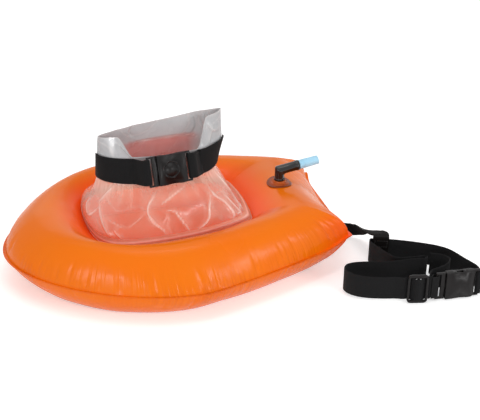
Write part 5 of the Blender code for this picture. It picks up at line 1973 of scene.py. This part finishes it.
@dataclass
class Valve:
    """The oral valve: seat welded to the float, swivelling elbow and twist-lock mouthpiece."""

    float_body: Float
    place: float = 0.17765
    flange: float = 0.0196
    flange_thickness: float = 0.0012
    collar: float = 0.0100
    collar_height: float = 0.0045
    tube: float = 0.0075
    wall: float = 0.0026
    bend_rounding: float = 0.0038
    column: float = 0.0205
    arm: float = 0.032
    bore_depth: float = 0.019
    tilt: float = 8.5
    lip: float = 0.0005
    mouthpiece: float = 0.031
    mouthpiece_radius: float = 0.0074
    tip_width: float = 0.0072
    tip_height: float = 0.0066
    bore: float = 0.0028
    spigot_depth: float = 0.010
    around: int = 64

    def seat_top(self, x: float, y: float) -> float:
        """Height of the float just under the seat."""
        return self.float_body.top_near_nose(x, y) + GAP / 2

    def build_seat(self, amber: bpy.types.Material) -> bpy.types.Object:
        """Make the round seat: a flange that follows the float and an upright collar.

        Args:
            amber: its finish.

        Returns:
            The seat.
        """
        inner = self.tube + GAP
        top = self.seat_top(self.place, 0) + GAP
        thick = self.flange_thickness
        under = [self.flange, 0.0175, 0.015, 0.012, self.collar, inner]
        upper = [
            (self.collar + 0.0004, thick + 0.0004), (0.0112, thick), (0.0124, thick + 0.0002),
            (0.0132, thick + 0.0006), (0.0141, thick + 0.0006), (0.0149, thick * 0.8), (0.0160, thick * 0.7),
            (0.0176, thick * 0.7), (0.0190, thick * 0.55), (self.flange, thick * 0.3),
        ]
        sections, radii = [], []
        for step in range(self.around):
            angle = 2 * math.pi * step / self.around
            along = Vector((math.cos(angle), math.sin(angle)))

            def on_float(radius: float, lift: float) -> Vector:
                """A point at a radius and a height over the float."""
                x, y = self.place + along.x * radius, along.y * radius
                return Vector((x, y, self.seat_top(x, y) + GAP + lift))

            def level(radius: float, height: float) -> Vector:
                """A point at a radius and a height over the seat's middle."""
                return Vector((self.place + along.x * radius, along.y * radius, top + height))

            rim = self.collar_height
            section = [on_float(radius, 0) for radius in under]
            section += [level(inner, rim - 0.0004), level(inner + 0.0004, rim),
                        level(self.collar - 0.0005, rim), level(self.collar, rim - 0.0005)]
            section += [on_float(radius, lift) for radius, lift in upper]
            sections.append(section)
            radii = under + [inner, inner, self.collar, self.collar] + [radius for radius, _ in upper]

        def store(_k: int, j: int) -> dict:
            """Distance from the seat's middle."""
            return {"radius": radii[j]}

        bm = loft(sections, store, closed=True)
        return make_piece("valve_seat", bm, amber, "float", ("valve_base",), sharp=50)

    def ends(self) -> tuple[Vector, Vector, Vector, Vector, Vector]:
        """Foot, corner and end of the elbow, and its arm's direction and up direction.

        Returns:
            The three points and the two directions.
        """
        foot = Vector((self.place, 0, self.seat_top(self.place, 0) + 2 * GAP))
        tilt = math.radians(self.tilt)
        arm = Vector((math.cos(tilt), 0, math.sin(tilt)))
        up = Vector((-math.sin(tilt), 0, math.cos(tilt)))
        corner = foot + Vector((0, 0, self.column))
        return foot, corner, corner + arm * self.arm, arm, up

    def ring(self, centre: Vector, first: Vector, second: Vector, a: float, b: float) -> list[Vector]:
        """An oval section.

        Args:
            centre: its middle.
            first: one direction in its plane.
            second: the direction square to it.
            a: its half size along the first.
            b: its half size along the second.

        Returns:
            Its points.
        """
        made = []
        for step in range(self.around):
            angle = 2 * math.pi * step / self.around
            made.append(centre + first * (a * math.cos(angle)) + second * (b * math.sin(angle)))
        return made

    def build_elbow(self, gloss: bpy.types.Material) -> bpy.types.Object:
        """Make the elbow: a foot with a rounded edge, the bend, and an arm with its bore.

        Args:
            gloss: its finish.

        Returns:
            The elbow.
        """
        foot, corner, end, arm, up = self.ends()
        side, rise = Vector((0, 1, 0)), Vector((0, 0, 1))
        slant = math.tan((math.pi / 2 - math.radians(self.tilt)) / 2)
        r = self.tube
        back = Vector((-1, 0, 0))
        sections = [self.ring(foot, back, side, r - self.lip, r - self.lip)]
        for height, radius in (
            (self.lip, r), (0.0048, r), (0.0053, r + 0.0009), (0.0069, r + 0.0009), (0.0074, r),
        ):
            sections.append(self.ring(foot + rise * height, back, side, radius, radius))
        below = self.ring(corner, back, side, r, r)
        for step in range(9):
            section = []
            for low in below:
                meet = low + rise * ((corner.x - low.x) * slant)
                first = between(meet - rise * self.bend_rounding, meet, step / 8)
                second = between(meet, meet + arm * self.bend_rounding, step / 8)
                section.append(between(first, second, step / 8))
            sections.append(section)
        for back_off, radius in (
            (0.0064, r), (0.0058, r + 0.0006), (0.0012, r + 0.0006), (0.0006, r), (self.lip, r),
            (0.00015, r - 0.0002), (0.0, r - self.lip), (0.0, r - self.wall),
        ):
            sections.append(self.ring(end - arm * back_off, up, side, radius, radius))
        sections.append(self.ring(end - arm * self.bore_depth, up, side, r - self.wall, r - self.wall))
        bm = loft(sections, no_store, capped=True)
        return make_piece("valve_elbow_moulding", bm, gloss, "valve_elbow", ("valve_elbow",),
                          50)

    def build_mouthpiece(self, rubber: bpy.types.Material) -> bpy.types.Object:
        """Make the soft mouthpiece: spigot, shoulder, ribbed grip and flattened tip.

        Args:
            rubber: its finish.

        Returns:
            The mouthpiece.
        """
        _foot, _corner, end, arm, up = self.ends()
        side = Vector((0, 1, 0))
        spigot = self.tube - self.wall - GAP
        shoulder = end + arm * GAP
        full = self.mouthpiece_radius
        inside = -self.spigot_depth - GAP
        edge = full - self.lip
        stations = [(inside, self.bore, self.bore), (inside, spigot, spigot), (0.0, spigot, spigot),
                    (0.0, edge, edge), (0.00015, full - 0.0002, full - 0.0002), (self.lip, full, full)]
        groove = full - 0.00045
        for rib in range(3):
            start = 0.0018 + rib * 0.0022
            stations += [(start, full, full), (start + 0.0004, groove, groove),
                         (start + 0.0010, groove, groove), (start + 0.0014, full, full)]
        taper = 0.0094
        for step in range(10):
            share = step / 9
            at = between(taper, self.mouthpiece - 0.0016, share)
            squash = share ** 1.2
            high = between(full - 0.0001, self.tip_height, squash)
            stations.append((at, high, between(full, self.tip_width, squash)))
        tip = self.mouthpiece
        stations += [(tip - 0.0010, self.tip_height + 0.0002, self.tip_width + 0.0002),
                     (tip - 0.0003, self.tip_height, self.tip_width),
                     (tip, self.tip_height - self.lip, self.tip_width - self.lip),
                     (tip, self.bore, self.bore)]
        sections = [self.ring(shoulder + arm * at, up, side, a, b) for at, a, b in stations]
        bm = loft(sections, no_store, closed=True)
        return make_piece("mouthpiece_grip", bm, rubber, "valve_mouthpiece", ("valve_mouthpiece",),
                          50)


@dataclass(frozen=True)
class Seat:
    """Translucent brown vinyl of the valve's seat, darker at its weld ring and lighter inside."""

    dark: tuple = linear(122, 54, 24)
    amber: tuple = linear(156, 60, 14)
    light: tuple = linear(190, 93, 38)

    def build(self) -> bpy.types.Material:
        """Make the material.

        Returns:
            The seat's vinyl.
        """
        board = Board("valve_seat_vinyl")
        radius = board.attribute("radius")
        outer = radius.above(0.0160, 0.0010)
        inner = 1 - radius.above(0.0132, 0.0008)
        drift = board.noise(120.0, 3.0)
        body = board.mix((drift * 0.5 + inner * 0.5).clamped(), self.amber, self.light)
        rib = (radius * (2 * math.pi / 0.0011)).sine() * outer
        return board.dress(
            Base_Color=board.mix(outer * 0.85, body, self.dark), Roughness=(drift - 0.5) * 0.15 + 0.26,
            Normal=board.bump(rib, 0.00008, 0.6), Specular_IOR_Level=0.15,
        )


# The studio


@dataclass
class Studio:
    """White floor and surroundings, soft lamps, and the camera."""

    target: Vector = field(default_factory=lambda: Vector((0.03355, 0, 0.045)))
    elevation: float = 30.69
    azimuth: float = -15.97
    distance: float = 2.2
    lens: float = 105.6
    shift: tuple[float, float] = (0.1029, 0.0386)
    ambient: float = 0.52
    lift: float = 0.38

    LAMPS = (
        ("overhead_lamp", (0.0, 0.1, 2.3), (2.0, 2.0), 10),
        ("top_strip", (0.1, -0.3, 2.0), (1.2, 0.12), 3),
        ("left_strip", (-1.35, -1.50, 0.50), (0.8, 0.10), 9),
        ("right_strip", (1.15, -1.55, 0.86), (0.9, 0.10), 10),
        ("rear_lamp", (0.2, 1.8, 1.3), (1.8, 1.0), 4),
    )

    def build_floor(self) -> bpy.types.Object:
        """Make the pale floor.

        Returns:
            The floor.
        """
        bm = bmesh.new()
        bmesh.ops.create_grid(bm, x_segments=1, y_segments=1, size=6.0)
        mesh = bpy.data.meshes.new("studio_floor")
        bm.to_mesh(mesh)
        bm.free()
        floor = bpy.data.objects.new("studio_floor", mesh)
        bpy.context.scene.collection.objects.link(floor)
        board = Board("studio_floor")
        drift = board.noise(3.0, 2.0)
        seen = 0.0
        for ray in ("Is Camera Ray", "Is Glossy Ray", "Is Transmission Ray"):
            seen = board.node("ShaderNodeLightPath", output=ray) + seen
        lift = board.mix(seen.clamped(), (0, 0, 0, 1), (self.lift, self.lift, self.lift, 1))
        mesh.materials.append(board.dress(
            Base_Color=board.mix(drift, linear(250, 250, 250), linear(253, 253, 253)),
            Roughness=(drift - 0.5) * 0.05 + 0.75, Specular_IOR_Level=0.2,
            Emission_Color=lift, Emission_Strength=1.0,
        ))
        return floor

    def build_world(self) -> None:
        """Surround the scene with white, dimmer for the light it sheds."""
        board = Board("studio_white", surroundings=True)
        seen = board.node("ShaderNodeLightPath", output="Is Camera Ray")
        for ray in ("Is Glossy Ray", "Is Transmission Ray"):
            seen = seen.larger(board.node("ShaderNodeLightPath", output=ray))
        shares = {"Value": seen, "To Min": self.ambient, "To Max": 1.0}
        strength = board.node("ShaderNodeMapRange", {}, shares)
        bpy.context.scene.world = board.dress(Color=(1, 1, 1, 1), Strength=strength)

    def lamp(self, name: str, place: tuple[float, float, float], size: tuple[float, float], power: float
             ) -> None:
        """Hang an area lamp that faces the object.

        Args:
            name: the lamp's name.
            place: where it hangs.
            size: its width and height.
            power: its power in watts.
        """
        data = bpy.data.lights.new(name, "AREA")
        data.shape = "RECTANGLE"
        data.size, data.size_y = size
        data.energy = power
        lamp = bpy.data.objects.new(name, data)
        bpy.context.scene.collection.objects.link(lamp)
        lamp.location = place
        lamp.rotation_mode = "QUATERNION"
        lamp.rotation_quaternion = (self.target - Vector(place)).to_track_quat("-Z", "Y")

    def build_camera(self) -> None:
        """Set the camera at the photograph's view."""
        a, e = math.radians(self.azimuth), math.radians(self.elevation)
        back = Vector((math.sin(a) * math.cos(e), -math.cos(a) * math.cos(e), math.sin(e)))
        data = bpy.data.cameras.new("camera")
        data.lens = self.lens
        data.sensor_width = 36
        data.shift_x, data.shift_y = self.shift
        camera = bpy.data.objects.new("camera", data)
        bpy.context.scene.collection.objects.link(camera)
        camera.location = self.target + back * self.distance
        camera.rotation_mode = "QUATERNION"
        camera.rotation_quaternion = (-back).to_track_quat("-Z", "Y")
        bpy.context.scene.camera = camera

    def build(self) -> None:
        """Make the floor, the surroundings, the lamps and the camera."""
        self.build_floor()
        self.build_world()
        for lamp in self.LAMPS:
            self.lamp(*lamp)
        self.build_camera()
        bpy.context.scene.view_settings.view_transform = "Standard"


def main(nodes: dict) -> None:
    """Build the buoy over its CAD frame, dress it, and light it.

    Args:
        nodes: the CAD nodes by name.
    """
    vinyl = FloatVinyl().build()
    film = ClearFilm().build()
    weld = PaleWeld().build()
    weave = Webbing().build()
    narrow = Webbing("webbing_narrow", linear(5, 3, 2), linear(17, 11, 9), half_width=0.0125, gloss=0.06)
    thread = Thread().build()
    buckle = Mould.BUCKLE.build()
    float_body = Float()
    float_body.build(vinyl)
    bag = Bag(float_body)
    bag.build_film(film)
    bag.build_band(weld)
    bag.build_floor(vinyl)
    Straps(bag).build(weave, narrow.build(), thread)
    hardware = Hardware(nodes)
    for node in (
        "mouth_plug", "mouth_prong_upper", "mouth_prong_lower", "mouth_socket", "belt_plug",
        "belt_socket", "belt_prong_upper", "belt_prong_lower", "belt_slider",
    ):
        still = node in ("mouth_socket", "belt_plug", "belt_slider")
        hardware.keep(node, "float" if still else node, buckle)
    hardware.keep("tow_patch", "float", vinyl)
    valve = Valve(float_body)
    valve.build_seat(Seat().build())
    valve.build_elbow(Mould.ELBOW.build())
    valve.build_mouthpiece(Mould.MOUTHPIECE.build())
    hardware.keep("valve_poppet", "valve_poppet", Mould.POPPET.build())
    Studio().build()


if __name__ == "__main__":
    logging.basicConfig(level=logging.INFO, format="%(message)s")
    main(frame["nodes"])
